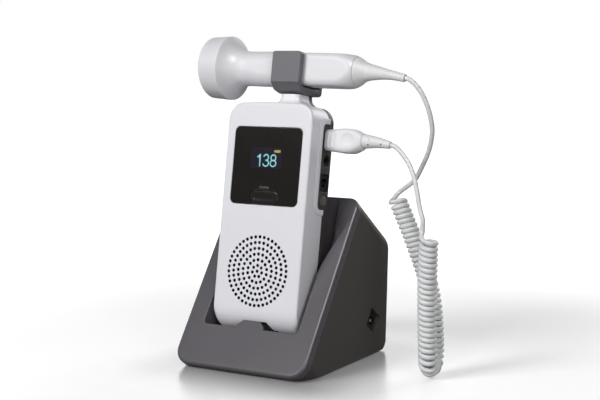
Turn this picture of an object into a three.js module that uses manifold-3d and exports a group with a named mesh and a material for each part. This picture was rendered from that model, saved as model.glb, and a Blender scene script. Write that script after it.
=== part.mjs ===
// Fetal doppler: a hand-held unit in its charging cradle, with a probe on a curly cord.
// Millimetres, +Z up. X runs across the front, +Y runs from the front to the back.
import * as THREE from 'three';
import { mergeGeometries, mergeVertices } from 'three/addons/utils/BufferGeometryUtils.js';
import Module from 'manifold-3d';

const wasm = await Module();
wasm.setup();

// Fits and clearances
const seam = 0.3;
const overrun = 1;
const slidingGap = 0.4;

// Cradle
const cradleWidth = 96;
const slopeLength = 122.4;
const cradleReach = 106.4;
const coverThickness = 5.3;
const cradleWall = 2.2;
const lowerCorner = 11;
const upperCorner = 8;
const coverFillet = 1.3;
const rearFootRadius = 6;
const rearTopRadius = 5.5;
const sideDraft = 6.3;
const standHeight = 0.5;
const slopeAngle = 55.3;
const basePlate = 2;
const footDiameter = 10;
const footSeat = 0.9;
const footInset = 9;
const bossDiameter = 8;
const bossJoin = 0.9;
const bossHeight = 14;
const bossFrontGap = 27.7;
const bossRearGap = 29.8;
const baseScrewDiameter = 3;
const baseScrewHead = 5.6;
const screwHeadHeight = 1.2;

// Pocket that the handset stands in
const pocketSideGap = 3.8;
const pocketCorner = 3;
const pocketSideLand = 3;
const pocketLean = 7.2;
const pocketFlareStart = 38;
const pocketFlareRise = 42;
const tubWall = 2;
const lipRise = 3.3;
const tabWidth = 19.2;
const tabRise = 5.3;
const tabChamfer = 3;
const tabThickness = 2.2;

// Cradle electrics
const jackRearGap = 19.53;
const jackRise = 22.3;
const jackRecessLong = 13.6;
const jackRecessShort = 12.6;
const jackRecessDepth = 1.2;
const jackPad = 3;
const jackWide = 9;
const jackTall = 11;
const jackLong = 14;
const jackBore = 6.2;
const jackBoreDepth = 9;
const jackPin = 2;
const boardThickness = 1.6;
const cradleBoardSideGap = 19;
const cradleBoardDepth = 36;
const cradleBoardRise = 4;
const cradleBoardPost = 5;
const contactSpacing = 12;
const contactPartingGap = 3.5;
const contactPin = 2.4;
const contactTip = -0.15;
const contactShoulder = 3.6;
const contactStroke = 0.9;
const contactBlockWidth = 24;
const contactBlockDepth = 8;
const contactBlockHeight = 8.6;

// Handset
const handsetLean = 9.7;
const handsetSeatY = 14.3;
const handsetSeatZ = 22.2;
const handsetWidth = 62;
const handsetLength = 143;
const handsetDepth = 28;
const handsetWall = 2;
const faceFillet = 1.3;
const rearFillet = 4;
const footCurve = 15;
const handsetTopCorner = 9.5;
const handsetFootCorner = 7;
const topCrown = 1.2;

// Handset face
const windowMargin = 6.2;
const windowCorner = 3.4;
const windowThickness = 1.2;
const windowFrame = 2;
const windowFrameDepth = 4.1;
const displayWidth = 25;
const displayHeight = 15;
const displayThickness = 3;
const keyWidth = 20.4;
const keyHeight = 8.6;
const keyCorner = 3;
const keyEdge = 0.3;
const keyStem = 4;
const keyStroke = 0.8;
const keySwitch = 6;
const keySwitchHeight = 2.5;
const dimpleWidth = 14.6;
const dimpleHeight = 4.6;
const dimpleDepth = 0.6;
const grilleRise = 38.3;
const grilleRadius = 21.2;
const grilleRings = 6;
const grilleHole = 2.1;
const grilleSides = 6;
const holesPerRing = 7;
const notchTopWidth = 21;
const notchFootWidth = 33;
const notchRise = 7.5;
const notchDepth = 7;

// Port strip on the handset's right side
const stripTopGap = 11.3;
const stripFootGap = 5.1;
const stripAhead = 7.6;
const stripReach = 11;
const stripCorner = 3;
const stripSink = 0.4;
const rimWidth = 3.6;
const rimHeight = 0.9;
const rimEdge = 0.4;
const portRearGap = 1.3;
const portBehindParting = 0.2;
const socketTopGap = 20.8;
const socketTall = 12;
const socketDeep = 9;
const socketLong = 12;
const headphoneGap = 2.7;
const headphoneDiameter = 6.4;
const headphoneBore = 3.6;
const headphoneBody = 8;
const headphoneLong = 13;
const headphoneBoreLong = 10;
const powerJackGap = 4.55;
const powerJackDeep = 9;
const powerJackTall = 10.5;
const powerJackLong = 14;
const powerJackBore = 6.2;
const powerJackBoreLong = 9;
const powerJackPin = 1.9;
const portSink = 0.4;
const sideButtonGap = 1.75;
const sideButtonDiameter = 6.6;
const sideButtonFlange = 8.6;
const sideButtonProud = 0.7;
const sideButtonLength = 5;
const sideButtonCrown = 0.4;
const sideButtonStroke = 0.6;
const sideSwitchTall = 5;
const sideSwitchDeep = 9;
const sideSwitchLong = 4;

// Handset internals and rear
const boardPortGap = 1.5;
const boardSideGap = 3.5;
const boardTopGap = 10;
const boardRise = 11;
const boardCorner = 3;
const boardPost = 5;
const boardPostInset = 4;
const boardScrewDiameter = 2.2;
const boardScrewHead = 3.8;
const boardScrewInset = 3.6;
const speakerBoardGap = 2.3;
const speakerProfile = [
  [4, 0], [4, 10], [1, 19.3], [0, 19.3], [0, 22], [1.5, 22],
  [1.5, 20.8], [5.2, 12], [5.2, 11], [8, 11], [8, 0],
];
const coneProfile = [[2, 0], [2.9, 6], [2.9, 9.5], [0.15, 18.8], [0.75, 18.8], [3.65, 9.8], [3.65, 0]];
const batteryMargin = 3;
const batteryEndGap = 5;
const batteryBoardGap = 3.9;
const batteryRise = 12;
const batteryCorner = 1.5;
const doorMargin = 8;
const doorLengthShare = 0.43357;
const doorRise = 9;
const doorCorner = 4;
const doorThickness = 1.6;
const doorFrame = 2;
const doorScrew = 2.6;
const doorScrewHead = 4.6;
const doorScrewHeadHeight = 0.7;
const doorScrewLength = 6.6;
const doorScrewInset = 3.2;
const doorBoss = 6;
const doorBossLength = 6;
const padDiameter = 5;
const padThickness = 1;
const padSink = 0.1;
const padBlockWidth = 21;
const padBlockRise = 3.4;
const padBlockReach = 4.5;

// Post and holder on top of the handset
const holderOffset = 7.5;
const holderWidth = 21;
const holderFront = 1;
const holderWall = 4.2;
const holderRearWall = 3.2;
const holderGap = 6.5;
const holderFloor = 4.4;
const holderHeight = 25.5;
const holderRearDrop = 3;
const holderCorner = 3;
const holderChamfer = [[0, 6.5], [4, 1.9], [11, 0]];
const holderEdge = 1;
const postFront = 8;
const postRearGap = 2;
const postCorner = 3.5;
const postFlare = [[-1.5, 11], [0, 10.8], [0.9, 9.1], [2.6, 7.7], [6.2, 7]];
const holderScrew = 3;
const holderScrewHead = 6;
const holderScrewHeadHeight = 2;
const holderScrewLength = 9.8;
const holderScrewAhead = 6;

// Probe, about an axis across the handset. Rings hold x, half depth, half height and corner.
const probeSideGap = 0.35;
const probeGap = 22.1;
const probeWall = 1.8;
const probeSides = 28;
const probeSeam = -13.6;
const headFront = -56.5;
const headRings = [
  [-56.5, 18.3, 18.3, 18.3],
  [-55.5, 19.15, 19.15, 19.15],
  [-42, 19.9, 19.9, 19.9],
  [-38, 19.3, 19.3, 19.3],
  [-34.6, 17.7, 17.7, 17.7],
  [-32, 15.4, 15.4, 15.4],
  [-30, 12.7, 12.8, 12.7],
  [-28.8, 10.9, 11.2, 10.6],
  [-26, 10.2, 10.9, 7.2],
  [-20, 10.2, 10.9, 4.8],
];
const handleSection = [10.2, 10.9, 4.4];
const handleRings = [
  [37, 10.2, 10.9, 4.4],
  [41, 10.05, 10.65, 5.8],
  [44.4, 9.75, 9.95, 8.4],
  [46.6, 9.4, 9.4, 9.4],
];
const handleEnd = 46.6;
const faceDiameter = 34;
const faceThickness = 3;
const faceCrown = 0.9;
const faceSeat = 17.3;
const faceLedge = 15.6;
const ledgeWidth = 1.6;
const domeShift = 1;
const crystalDiameter = 26;
const crystalThickness = 2;
const damperDiameter = 28;
const damperThickness = 5;
const probeBoardLength = 40;
const probeBoardMiddle = 15;
const bootRadii = [
  [0, 9.4], [3.1, 9.3], [5.5, 8.5], [8.1, 7.4], [13, 5.5], [18.1, 4.2], [28.6, 2.9], [35.8, 2.5],
];
const bootDroop = 3.6;
const bootSides = 16;

// Plug. Rings hold the distance from the handset, half depth, half height and corner.
const plugGap = 0.3;
const plugRings = [
  [0, 5.3, 6.6, 2.8],
  [0.8, 5.7, 7, 3.2],
  [6.5, 5.9, 7.4, 3.4],
  [13.7, 6, 7.7, 3.4],
  [20.5, 5.9, 7.3, 3.6],
  [23.6, 5.6, 6.5, 3.8],
  [25, 4.8, 5.5, 4],
  [25.4, 4.3, 4.9, 4.2],
];
const plugSides = 16;
const plugRibs = [2.4, 4.9, 7.4];
const plugRibWidth = 1.1;
const plugRibProud = 0.4;
const plugDimple = 8;
const plugDimpleDepth = 0.7;
const plugDimplePlace = 16.6;
const plugDimpleLift = 0.8;
const plugNoseTall = 9;
const plugNoseDeep = 6;
const plugNoseLength = 8.7;
const plugNoseCorner = 1.5;
const plugBootRadii = [[0, 4], [2, 3.9], [9, 3.1], [17.8, 2.4]];
const plugBootDroop = 1.2;

// Cord, in the standing frame. A lead's sag is its points' offsets from the straight line between its ends.
const cordDiameter = 3.2;
const coilMeanRadius = 4.7;
const coilPitch = 3.68;
const coilRunIn = 9;
const coilSteps = 8;
const coilSides = 5;
const coilSamples = 1600;
const leadSides = 8;
const leadStep = 7;
const probeLeadSag = [
  [9.5, -1.3, 0.5],
  [15.2, -2.2, 0.9],
  [19.1, -2.9, 1.3],
  [20.5, -3, 1.8],
  [19.3, -2.7, 2.3],
  [15.7, -1.8, 2.2],
  [10.6, -0.7, 1.9],
  [5.8, 0.8, 2.7],
];
const plugLeadSag = [
  [2.7, 0.8, 4.2],
  [4.1, 1.2, 5.7],
  [4.2, 0.9, 6.1],
  [3.2, 0.4, 4.6],
  [1.8, -0.1, 2.2],
];
const coilLeaveDirection = [0.8, 1, 0];
const coilAxis = [
  [105, 45.6, 86.5],
  [105, 45.6, 64],
  [105, 45.6, 42],
  [105, 45.6, 20.7],
  [103.81, 48.66, 12.78],
  [100.95, 56.05, 9.5],
  [98.09, 63.44, 12.78],
  [96.9, 66.5, 20.7],
  [90.4, 67.9, 44],
  [80.9, 69.7, 70],
  [69.5, 71.8, 103.2],
];

// Places and outlines as shares of the sizes that they follow
const pocketRiseShares = [0.3, 0.42, 0.52, 0.62, 0.72, 0.84];
const flareMiddleShare = 0.3;
const pilotShare = 0.75;
const footCurveShares = [0.2, 0.4, 0.67, 1];
const innerFootShares = [0.25, 0.5, 1];
const footPlaceShares = [0.14, 0.84];
const windowRiseShare = 0.55385;
const windowHeightShare = 0.33706;
const displayRiseShare = 0.75664;
const keyRiseShare = 0.58741;
const coilEndShare = 0.3;

// Sizes that follow from the sizes, gaps and shares above
const contactBlockTop = -tubWall - 2 * seam;
const contactBoreFloor = contactBlockTop - contactBlockHeight + boardThickness;
const contactPinLength = contactTip - contactBoreFloor - contactStroke - seam;
const portDepth = handsetDepth - handsetWall - portRearGap - socketDeep / 2;
const partingDepth = portDepth - portBehindParting;
const stripFront = portDepth - stripAhead;
const boardDepth = portDepth - socketDeep / 2 - boardPortGap - boardThickness;
const boardScrewLength = boardDepth - boardScrewInset;
const speakerDeep = boardDepth - handsetWall - seam - speakerBoardGap;
const doorSeat = handsetDepth - doorThickness - seam;
const batteryThickness = doorSeat - boardDepth - boardThickness - batteryBoardGap;
const contactDepth = partingDepth - contactPartingGap;
const padBlockFront = contactDepth - padBlockReach;
const postDepth = handsetDepth - postFront - postRearGap;
const holderDeep = holderWall + holderRearWall + 2 * (handleSection[0] + probeSideGap);
const holderRear = holderFront + holderDeep;
const holderScrewDepth = partingDepth - holderScrewAhead;
const probeDepth = holderFront + holderWall + probeSideGap + handleSection[0];
const cradleBoardWidth = cradleWidth - 2 * cradleBoardSideGap;
const pocketWidth = handsetWidth + 2 * pocketSideGap;
const pocketFlare = (cradleWidth - pocketWidth) / 2 - pocketSideLand;
const windowWidth = handsetWidth - 2 * windowMargin;
const windowHeight = handsetLength * windowHeightShare;
const windowRise = handsetLength * windowRiseShare;
const displayRise = handsetLength * displayRiseShare;
const keyRise = handsetLength * keyRiseShare;
const socketRise = handsetLength - socketTopGap;
const headphoneRise = socketRise - (socketTall + headphoneBody) / 2 - headphoneGap;
const powerJackRise = headphoneRise - (headphoneBody + powerJackTall) / 2 - powerJackGap;
const sideButtonRise = powerJackRise - (powerJackTall + sideButtonFlange) / 2 - sideButtonGap;
const stripRise = sideButtonRise - stripFootGap;
const stripLength = handsetLength - stripTopGap - stripRise;
const boardWidth = handsetWidth - 2 * boardSideGap;
const boardLength = handsetLength - boardRise - boardTopGap;
const doorWidth = handsetWidth - 2 * doorMargin;
const doorLength = handsetLength * doorLengthShare;
const doorScrewRise = doorRise + doorLength - doorScrewInset;
const batteryLength = doorLength - 2 * batteryEndGap;
const batteryWidth = doorWidth - 2 * batteryMargin;
const holderRise = handsetLength + holderGap;
const probeRise = handsetLength + probeGap;
const plugStart = handsetWidth / 2 + plugGap;

// Facet counts
const arcSteps = 4;
const roundSides = 20;
const smallSides = 8;
const screwSides = 8;
const smallCorner = 2;

const halfPi = Math.PI / 2;
const slope = THREE.MathUtils.degToRad(slopeAngle);
const lean = THREE.MathUtils.degToRad(handsetLean);

// Surfaces and solids

function signedVolume(positions, index) {
  const a = new THREE.Vector3();
  const b = new THREE.Vector3();
  const c = new THREE.Vector3();
  let volume = 0;
  for (let i = 0; i < index.length; i += 3) {
    a.fromArray(positions, 3 * index[i]);
    b.fromArray(positions, 3 * index[i + 1]);
    c.fromArray(positions, 3 * index[i + 2]);
    volume += a.dot(b.cross(c));
  }
  return volume;
}

function closedGeometry(points, index) {
  const positions = new Float32Array(points.flatMap((p) => [p.x, p.y, p.z]));
  if (signedVolume(positions, index) < 0) {
    index.reverse();
  }
  const geometry = new THREE.BufferGeometry();
  geometry.setAttribute('position', new THREE.BufferAttribute(positions, 3));
  geometry.setIndex(index);
  return geometry;
}

// Joins rings of equally many points into one closed surface, with a fan of triangles on each end.
function loft(rings) {
  const count = rings[0].length;
  const points = rings.flat();
  const index = [];
  for (let r = 0; r < rings.length - 1; r += 1) {
    for (let i = 0; i < count; i += 1) {
      const a = r * count + i;
      const b = r * count + ((i + 1) % count);
      index.push(a, b, b + count, a, b + count, a + count);
    }
  }
  for (const end of [0, rings.length - 1]) {
    const centre = new THREE.Vector3();
    rings[end].forEach((p) => centre.addScaledVector(p, 1 / count));
    const hub = points.push(centre) - 1;
    for (let i = 0; i < count; i += 1) {
      const a = end * count + i;
      const b = end * count + ((i + 1) % count);
      index.push(...(end === 0 ? [hub, b, a] : [hub, a, b]));
    }
  }
  return closedGeometry(points, index);
}

function solidOf(geometry) {
  const bare = new THREE.BufferGeometry();
  bare.setAttribute('position', geometry.getAttribute('position').clone());
  bare.setIndex(geometry.index);
  const merged = mergeVertices(bare);
  const vertProperties = new Float32Array(merged.getAttribute('position').array);
  const triVerts = new Uint32Array(merged.index.array);
  return new wasm.Manifold(new wasm.Mesh({ numProp: 3, vertProperties, triVerts }));
}

function geometryOf(solid) {
  const mesh = solid.getMesh();
  const geometry = new THREE.BufferGeometry();
  geometry.setAttribute('position', new THREE.BufferAttribute(new Float32Array(mesh.vertProperties), 3));
  geometry.setIndex(new THREE.BufferAttribute(new Uint32Array(mesh.triVerts), 1));
  geometry.computeVertexNormals();
  return geometry;
}

function joined(geometries) {
  return geometries.map(solidOf).reduce((sum, next) => sum.add(next));
}

function cut(body, tools) {
  return geometryOf(solidOf(body).subtract(joined(tools)));
}

function fuse(parts) {
  return geometryOf(joined(parts));
}

function common(first, second) {
  return geometryOf(solidOf(first).intersect(solidOf(second)));
}

// Outlines

// A rounded outline with its own corner radius at the foot and at the top, as [across, up] pairs.
function roundedOutline(halfWidth, foot, top, footCorner, topRadius, crown = 0, steps = arcSteps) {
  const points = [];
  const corners = [
    [halfWidth, foot, footCorner, -halfPi],
    [halfWidth, top, topRadius, 0],
    [-halfWidth, top, topRadius, halfPi],
    [-halfWidth, foot, footCorner, Math.PI],
  ];
  for (const [x, y, radius, start] of corners) {
    const centreX = x - Math.sign(x) * radius;
    const centreY = y + (y === top ? -radius : radius);
    for (let i = 0; i <= steps; i += 1) {
      const angle = start + (halfPi * i) / steps;
      points.push([centreX + radius * Math.cos(angle), centreY + radius * Math.sin(angle)]);
    }
    if (y === top && x > 0 && crown > 0) {
      for (let i = 1; i < steps; i += 1) {
        points.push([centreX * (1 - (2 * i) / steps), top]);
      }
    }
  }
  const middle = (foot + top) / 2;
  return points.map(([x, y]) => [x, y - (y > middle ? crown * (x / halfWidth) ** 2 : 0)]);
}

function shapeOf(outline) {
  return new THREE.Shape(outline.map(([x, y]) => new THREE.Vector2(x, y)));
}

function roundedBox(width, height, radius, centreX = 0, centreY = 0) {
  const steps = radius < smallCorner ? 1 : arcSteps;
  const outline = roundedOutline(width / 2, -height / 2, height / 2, radius, radius, 0, steps);
  return outline.map(([x, y]) => [x + centreX, y + centreY]);
}

function extruded(outline, length, bevel = 0) {
  const settings = { depth: length - 2 * bevel, bevelEnabled: bevel > 0, steps: 1, curveSegments: arcSteps };
  const bevels = { bevelThickness: bevel, bevelSize: bevel, bevelOffset: -bevel, bevelSegments: 1 };
  const geometry = new THREE.ExtrudeGeometry(shapeOf(outline), { ...settings, ...bevels });
  return geometry.translate(0, 0, bevel);
}

// An outline of [x, height] pairs carried from one depth to another.
function alongDepth(outline, from, to, bevel = 0) {
  return extruded(outline, to - from, bevel).rotateX(halfPi).translate(0, to, 0);
}

// An outline of [depth, height] pairs carried from one x to another.
function alongWidth(outline, from, to, bevel = 0) {
  const turn = new THREE.Matrix4().makeBasis(
    new THREE.Vector3(0, 1, 0),
    new THREE.Vector3(0, 0, 1),
    new THREE.Vector3(1, 0, 0),
  );
  return extruded(outline, to - from, bevel).applyMatrix4(turn).translate(from, 0, 0);
}

// An outline of [x, depth] pairs carried from one height to another.
function alongHeight(outline, from, to, bevel = 0) {
  return extruded(outline, to - from, bevel).translate(0, 0, from);
}

function rodAlongWidth(diameter, from, to, depth, height, sides = smallSides) {
  const rod = new THREE.CylinderGeometry(diameter / 2, diameter / 2, to - from, sides);
  return rod.rotateZ(halfPi).translate((from + to) / 2, depth, height);
}

function rodAlongDepth(diameter, from, to, x, height, sides = smallSides) {
  const rod = new THREE.CylinderGeometry(diameter / 2, diameter / 2, to - from, sides);
  return rod.translate(x, (from + to) / 2, height);
}

function rodAlongHeight(diameter, from, to, x, depth, sides = smallSides) {
  const rod = new THREE.CylinderGeometry(diameter / 2, diameter / 2, to - from, sides);
  return rod.rotateX(halfPi).translate(x, depth, (from + to) / 2);
}

// A turned form's poles repeat their point, so the triangles that shrink to a line are left out.
function withoutPoles(form) {
  const bare = new THREE.BufferGeometry();
  bare.setAttribute('position', form.getAttribute('position'));
  bare.setIndex(form.index);
  const merged = mergeVertices(bare);
  const position = merged.getAttribute('position');
  const points = Array.from({ length: position.count }, (_, i) => {
    return new THREE.Vector3().fromBufferAttribute(position, i);
  });
  const index = [];
  for (let i = 0; i < merged.index.count; i += 3) {
    const face = [0, 1, 2].map((k) => merged.index.getX(i + k));
    if (new Set(face).size === 3) {
      index.push(...face);
    }
  }
  return closedGeometry(points, index);
}

// A turned body about the X axis from [x, radius] pairs.
function turned(profile, sides = roundSides) {
  const points = profile.map(([x, radius]) => new THREE.Vector2(radius, x));
  const lathe = new THREE.LatheGeometry(points, sides);
  return withoutPoles(lathe).rotateZ(-halfPi);
}

function smoothstep(value) {
  const t = Math.min(Math.max(value, 0), 1);
  return t * t * (3 - 2 * t);
}

// Materials

function plastic(colour, roughness) {
  return new THREE.MeshStandardMaterial({ color: colour, roughness, metalness: 0 });
}

function metal(colour, roughness) {
  return new THREE.MeshStandardMaterial({ color: colour, roughness, metalness: 1 });
}

const whitePlastic = plastic(0xe2e2e7, 0.42);
const greyPlastic = plastic(0x64626a, 0.5);
const darkPlastic = plastic(0x3c3836, 0.5);
const blackPlastic = plastic(0x1c1a18, 0.4);
const windowPlastic = plastic(0x282423, 0.12);
const rubberFoot = plastic(0x2a2a2c, 0.85);
const cordPlastic = plastic(0xcdcfd0, 0.5);
const bootPlastic = plastic(0xe0ded8, 0.6);
const circuitGreen = plastic(0x2f5a3a, 0.6);
const steel = metal(0xb8babd, 0.35);
const gold = metal(0xc9a54a, 0.3);
const speakerBlack = plastic(0x222224, 0.7);
const crystalGrey = plastic(0x8d8a80, 0.6);
const damperBlack = plastic(0x3a3733, 0.8);
const batteryBlue = plastic(0x35507a, 0.5);
const displayDark = plastic(0x262030, 0.2);

function piece(name, geometry, material) {
  const mesh = new THREE.Mesh(geometry, material);
  mesh.name = name;
  return mesh;
}

// Frames. The sloped frame has x across, y behind the sloped face and z up along it; the handset's
// frame has x across, y behind its face and z up along it from the handset's foot.

const cradleHalf = cradleWidth / 2;
const slopeDatumY = -coverThickness * Math.sin(slope);
const slopeDatumZ = coverThickness * Math.cos(slope);

function framedGroup(y, z, tilt) {
  const group = new THREE.Group();
  group.position.set(0, y, z);
  group.rotation.x = tilt;
  group.updateMatrix();
  return group;
}

const standingFrame = framedGroup(0, 0, 0);
const slopedFrame = framedGroup(slopeDatumY, slopeDatumZ + standHeight, slope - halfPi);
const handsetFrame = framedGroup(handsetSeatY, handsetSeatZ + standHeight, -lean);
const worldToSlope = slopedFrame.matrix.clone().invert();
const handsetToSlope = worldToSlope.clone().multiply(handsetFrame.matrix);
const jackPlace = new THREE.Vector3(0, cradleReach - jackRearGap, jackRise).applyMatrix4(worldToSlope);
const jackBehindFace = jackPlace.y;
const jackAlongSlope = jackPlace.z;
const handsetToWorld = handsetFrame.matrix;

function inSlope(geometry) {
  return geometry.applyMatrix4(worldToSlope);
}

// Depth in the handset's frame at which the sloped face passes a height of the handset.
function slopeFaceDepth(height) {
  const origin = new THREE.Vector3(0, 0, height).applyMatrix4(handsetToSlope);
  const step = new THREE.Vector3(0, 1, height).applyMatrix4(handsetToSlope);
  return -origin.y / (step.y - origin.y);
}

// Cradle front cover: a framed plate with the pocket moulded behind it

function cradleRing(depth, inset, draft) {
  const lower = lowerCorner - inset;
  const upper = upperCorner - inset;
  const outline = roundedOutline(cradleHalf - inset - draft, inset, slopeLength - inset, lower, upper);
  return outline.map(([x, height]) => new THREE.Vector3(x, depth, height));
}

function coverPlate() {
  const eased = coverFillet * (1 - Math.SQRT1_2);
  const edge = [[0, coverFillet], [eased, eased], [coverFillet, 0], [coverThickness, 0]];
  return loft(edge.map(([depth, inset]) => cradleRing(depth, inset, 0)));
}

// The pocket's outline across the handset at one height. It widens and leans back towards the top.
function pocketRing(height, offset) {
  const rise = (height - pocketFlareStart) / pocketFlareRise;
  const back = handsetDepth + slidingGap + pocketLean * Math.max(rise, 0) + offset;
  const half = pocketWidth / 2 + offset;
  const face = slopeFaceDepth(height);
  const flare = pocketFlare * smoothstep(rise);
  const side = [
    [half - pocketCorner, back],
    [half, back - pocketCorner],
    [half + flare * flareMiddleShare, (face + back) / 2],
    [half + flare, face],
    [half + flare, face - coverThickness],
  ];
  const mirrored = side.map(([x, depth]) => [-x, depth]).reverse();
  return [...side, ...mirrored].map(([x, depth]) => new THREE.Vector3(x, depth, height));
}

function pocketForm(offset) {
  const ridge = slopeLength * Math.sin(slope) + slopeDatumZ - handsetSeatZ;
  const top = (ridge + (handsetDepth + pocketLean) * Math.sin(lean)) / Math.cos(lean);
  const heights = [-seam - offset, ...pocketRiseShares.map((share) => share * top), top + overrun];
  return loft(heights.map((height) => pocketRing(height, offset))).applyMatrix4(handsetToSlope);
}

// The lip in front of the handset's foot, with a tab that stands up before the handset's notch.
function coverLip() {
  const floor = new THREE.Vector3(0, slopeFaceDepth(0), 0).applyMatrix4(handsetToSlope).z;
  const lip = floor + lipRise;
  const side = (pocketWidth + tubWall) / 2;
  const half = tabWidth / 2;
  const right = [
    [side, floor - tubWall],
    [side, lip],
    [half, lip],
    [half, lip + tabRise - tabChamfer],
    [half - tabChamfer, lip + tabRise],
  ];
  const left = right.map(([x, height]) => [-x, height]).reverse();
  return alongDepth([...right, ...left], 0, tabThickness);
}

function contactRods(diameter, from, to) {
  return [-1, 1].map((side) => rodAlongHeight(diameter, from, to, (side * contactSpacing) / 2, contactDepth));
}

function coverGeometry() {
  const tub = common(pocketForm(tubWall), rearForm(cradleWall + 2 * seam, overrun, -cradleReach));
  const holes = contactRods(contactPin + 2 * seam, -tubWall - overrun - seam, overrun);
  holes.forEach((hole) => hole.applyMatrix4(handsetToSlope));
  const shell = cut(fuse([coverPlate(), tub]), [pocketForm(0), ...holes]);
  return fuse([shell, coverLip()]);
}

// Cradle rear shell

// Side view of the rear body, rounded at the back and open above, as [y, z] pairs.
function rearProfile(inset, floor) {
  const radius = rearFootRadius - inset;
  const rear = cradleReach - inset;
  const ridgeY = slopeDatumY + (slopeLength - inset) * Math.cos(slope);
  const ridgeZ = slopeDatumZ + standHeight + (slopeLength - inset) * Math.sin(slope);
  const corner = ridgeZ - (rear - ridgeY) / Math.tan(slope);
  const points = [[-cradleReach, floor]];
  if (floor < standHeight) {
    points.push([rear - radius, floor]);
  }
  for (let i = 0; i <= arcSteps; i += 1) {
    const angle = -halfPi + (halfPi * i) / arcSteps;
    const height = standHeight + rearFootRadius + radius * Math.sin(angle);
    points.push([rear - radius + radius * Math.cos(angle), height]);
  }
  const alongY = -rearTopRadius * Math.sin(slope);
  const alongZ = rearTopRadius * Math.cos(slope);
  const start = new THREE.Vector2(rear, corner - rearTopRadius);
  const end = new THREE.Vector2(rear + alongY, corner + alongZ);
  const bend = new THREE.QuadraticBezierCurve(start, new THREE.Vector2(rear, corner), end);
  bend.getPoints(arcSteps).forEach((p) => points.push([p.x, p.y]));
  points.push([end.x, 2 * ridgeZ], [-cradleReach, 2 * ridgeZ]);
  return alongWidth(points, -cradleWidth, cradleWidth);
}

function draftAt(depth) {
  return (sideDraft * depth) / cradleReach;
}

function sideHalfAt(depth) {
  return cradleHalf - draftAt(depth);
}

function rearForm(inset, from, floor) {
  const ends = [from, cradleReach];
  const body = loft(ends.map((depth) => cradleRing(depth, inset, draftAt(depth))));
  return common(body, inSlope(rearProfile(inset, floor)));
}

function bossPlaces() {
  return [bossFrontGap, cradleReach - bossRearGap].flatMap((y) => {
    const depth = new THREE.Vector3(0, y, 0).applyMatrix4(worldToSlope).y;
    const x = sideHalfAt(depth) - cradleWall - bossDiameter / 2 + bossJoin;
    return [[-x, y], [x, y]];
  });
}

function bossRods(diameter, from, to) {
  return bossPlaces().map(([x, y]) => inSlope(rodAlongHeight(diameter, from, to, x, y)));
}

function onJackSide(width, height, radius) {
  return roundedBox(width, height, radius, jackBehindFace, jackAlongSlope);
}

function rearShellGeometry() {
  const outer = rearForm(0, coverThickness + seam, standHeight);
  const inner = rearForm(cradleWall, 0, -cradleReach);
  const side = sideHalfAt(jackBehindFace);
  const padOutline = onJackSide(jackRecessLong + 2 * jackPad, jackRecessShort + 2 * jackPad, jackPad);
  const pad = alongWidth(padOutline, side - cradleWall - jackPad, side - jackRecessDepth);
  const recessOutline = onJackSide(jackRecessLong, jackRecessShort, seam);
  const recess = alongWidth(recessOutline, side - jackRecessDepth, cradleWidth);
  const openingOutline = onJackSide(jackWide + 2 * seam, jackTall + 2 * seam, seam);
  const opening = alongWidth(openingOutline, side - jackLong, cradleWidth);
  const low = standHeight + basePlate + seam;
  const bosses = bossRods(bossDiameter, low, low + bossHeight);
  const pilots = bossRods(baseScrewDiameter + seam, 0, low + bossHeight * pilotShare);
  const hollow = cut(outer, [inner]);
  return cut(fuse([hollow, pad, ...bosses]), [recess, opening, ...pilots]);
}

// Cradle base plate, feet and screws, standing on the table

function footPlaces() {
  const half = cradleHalf - sideDraft - footInset;
  return footPlaceShares.flatMap((share) => [[-half, cradleReach * share], [half, cradleReach * share]]);
}

function cradleBoardMiddle() {
  return cradleReach - cradleWall - rearFootRadius - cradleBoardDepth / 2;
}

function cradleBoardCorners() {
  const x = (cradleBoardWidth - cradleBoardPost) / 2;
  const y = (cradleBoardDepth - cradleBoardPost) / 2;
  return [[-x, -y], [x, -y], [-x, y], [x, y]].map(([across, along]) => [across, cradleBoardMiddle() + along]);
}

function basePlateGeometry() {
  const outline = roundedBox(cradleWidth, 2 * cradleReach, lowerCorner);
  const slab = alongHeight(outline, standHeight, standHeight + basePlate);
  const room = rearForm(cradleWall + seam, coverThickness + 2 * seam, -cradleReach);
  const plate = common(slab, room.applyMatrix4(slopedFrame.matrix));
  const seats = footPlaces().map(([x, y]) =>
    rodAlongHeight(footDiameter + 2 * seam, 0, footSeat + seam, x, y, roundSides / 2));
  const postTop = standHeight + basePlate + cradleBoardRise - seam;
  const posts = cradleBoardCorners().map(([x, y]) =>
    rodAlongHeight(cradleBoardPost, standHeight + overrun, postTop, x, y));
  const holes = bossPlaces().map(([x, y]) =>
    rodAlongHeight(baseScrewDiameter + 2 * seam, 0, standHeight + basePlate + overrun, x, y));
  const heads = bossPlaces().map(([x, y]) =>
    rodAlongHeight(baseScrewHead + 2 * seam, 0, standHeight + screwHeadHeight + seam, x, y));
  return cut(fuse([plate, ...posts]), [...seats, ...holes, ...heads]);
}

function footGeometry([x, y]) {
  return rodAlongHeight(footDiameter, 0, footSeat, x, y, roundSides / 2);
}

// A screw along the X axis, from its head at zero to its tip.
function screwGeometry(head, shank, headHeight, length) {
  const headSide = [[0, 0], [0, head / 2], [headHeight, head / 2]];
  const shankSide = [[headHeight, shank / 2], [length, shank / 2], [length, 0]];
  return turned([...headSide, ...shankSide], screwSides);
}

function baseScrewGeometry([x, y]) {
  const low = standHeight + seam;
  const length = basePlate + bossHeight * pilotShare - seam;
  const screw = screwGeometry(baseScrewHead, baseScrewDiameter - seam, screwHeadHeight - seam, length);
  return screw.rotateY(-halfPi).translate(x, y, low);
}

// Cradle electrics

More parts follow.
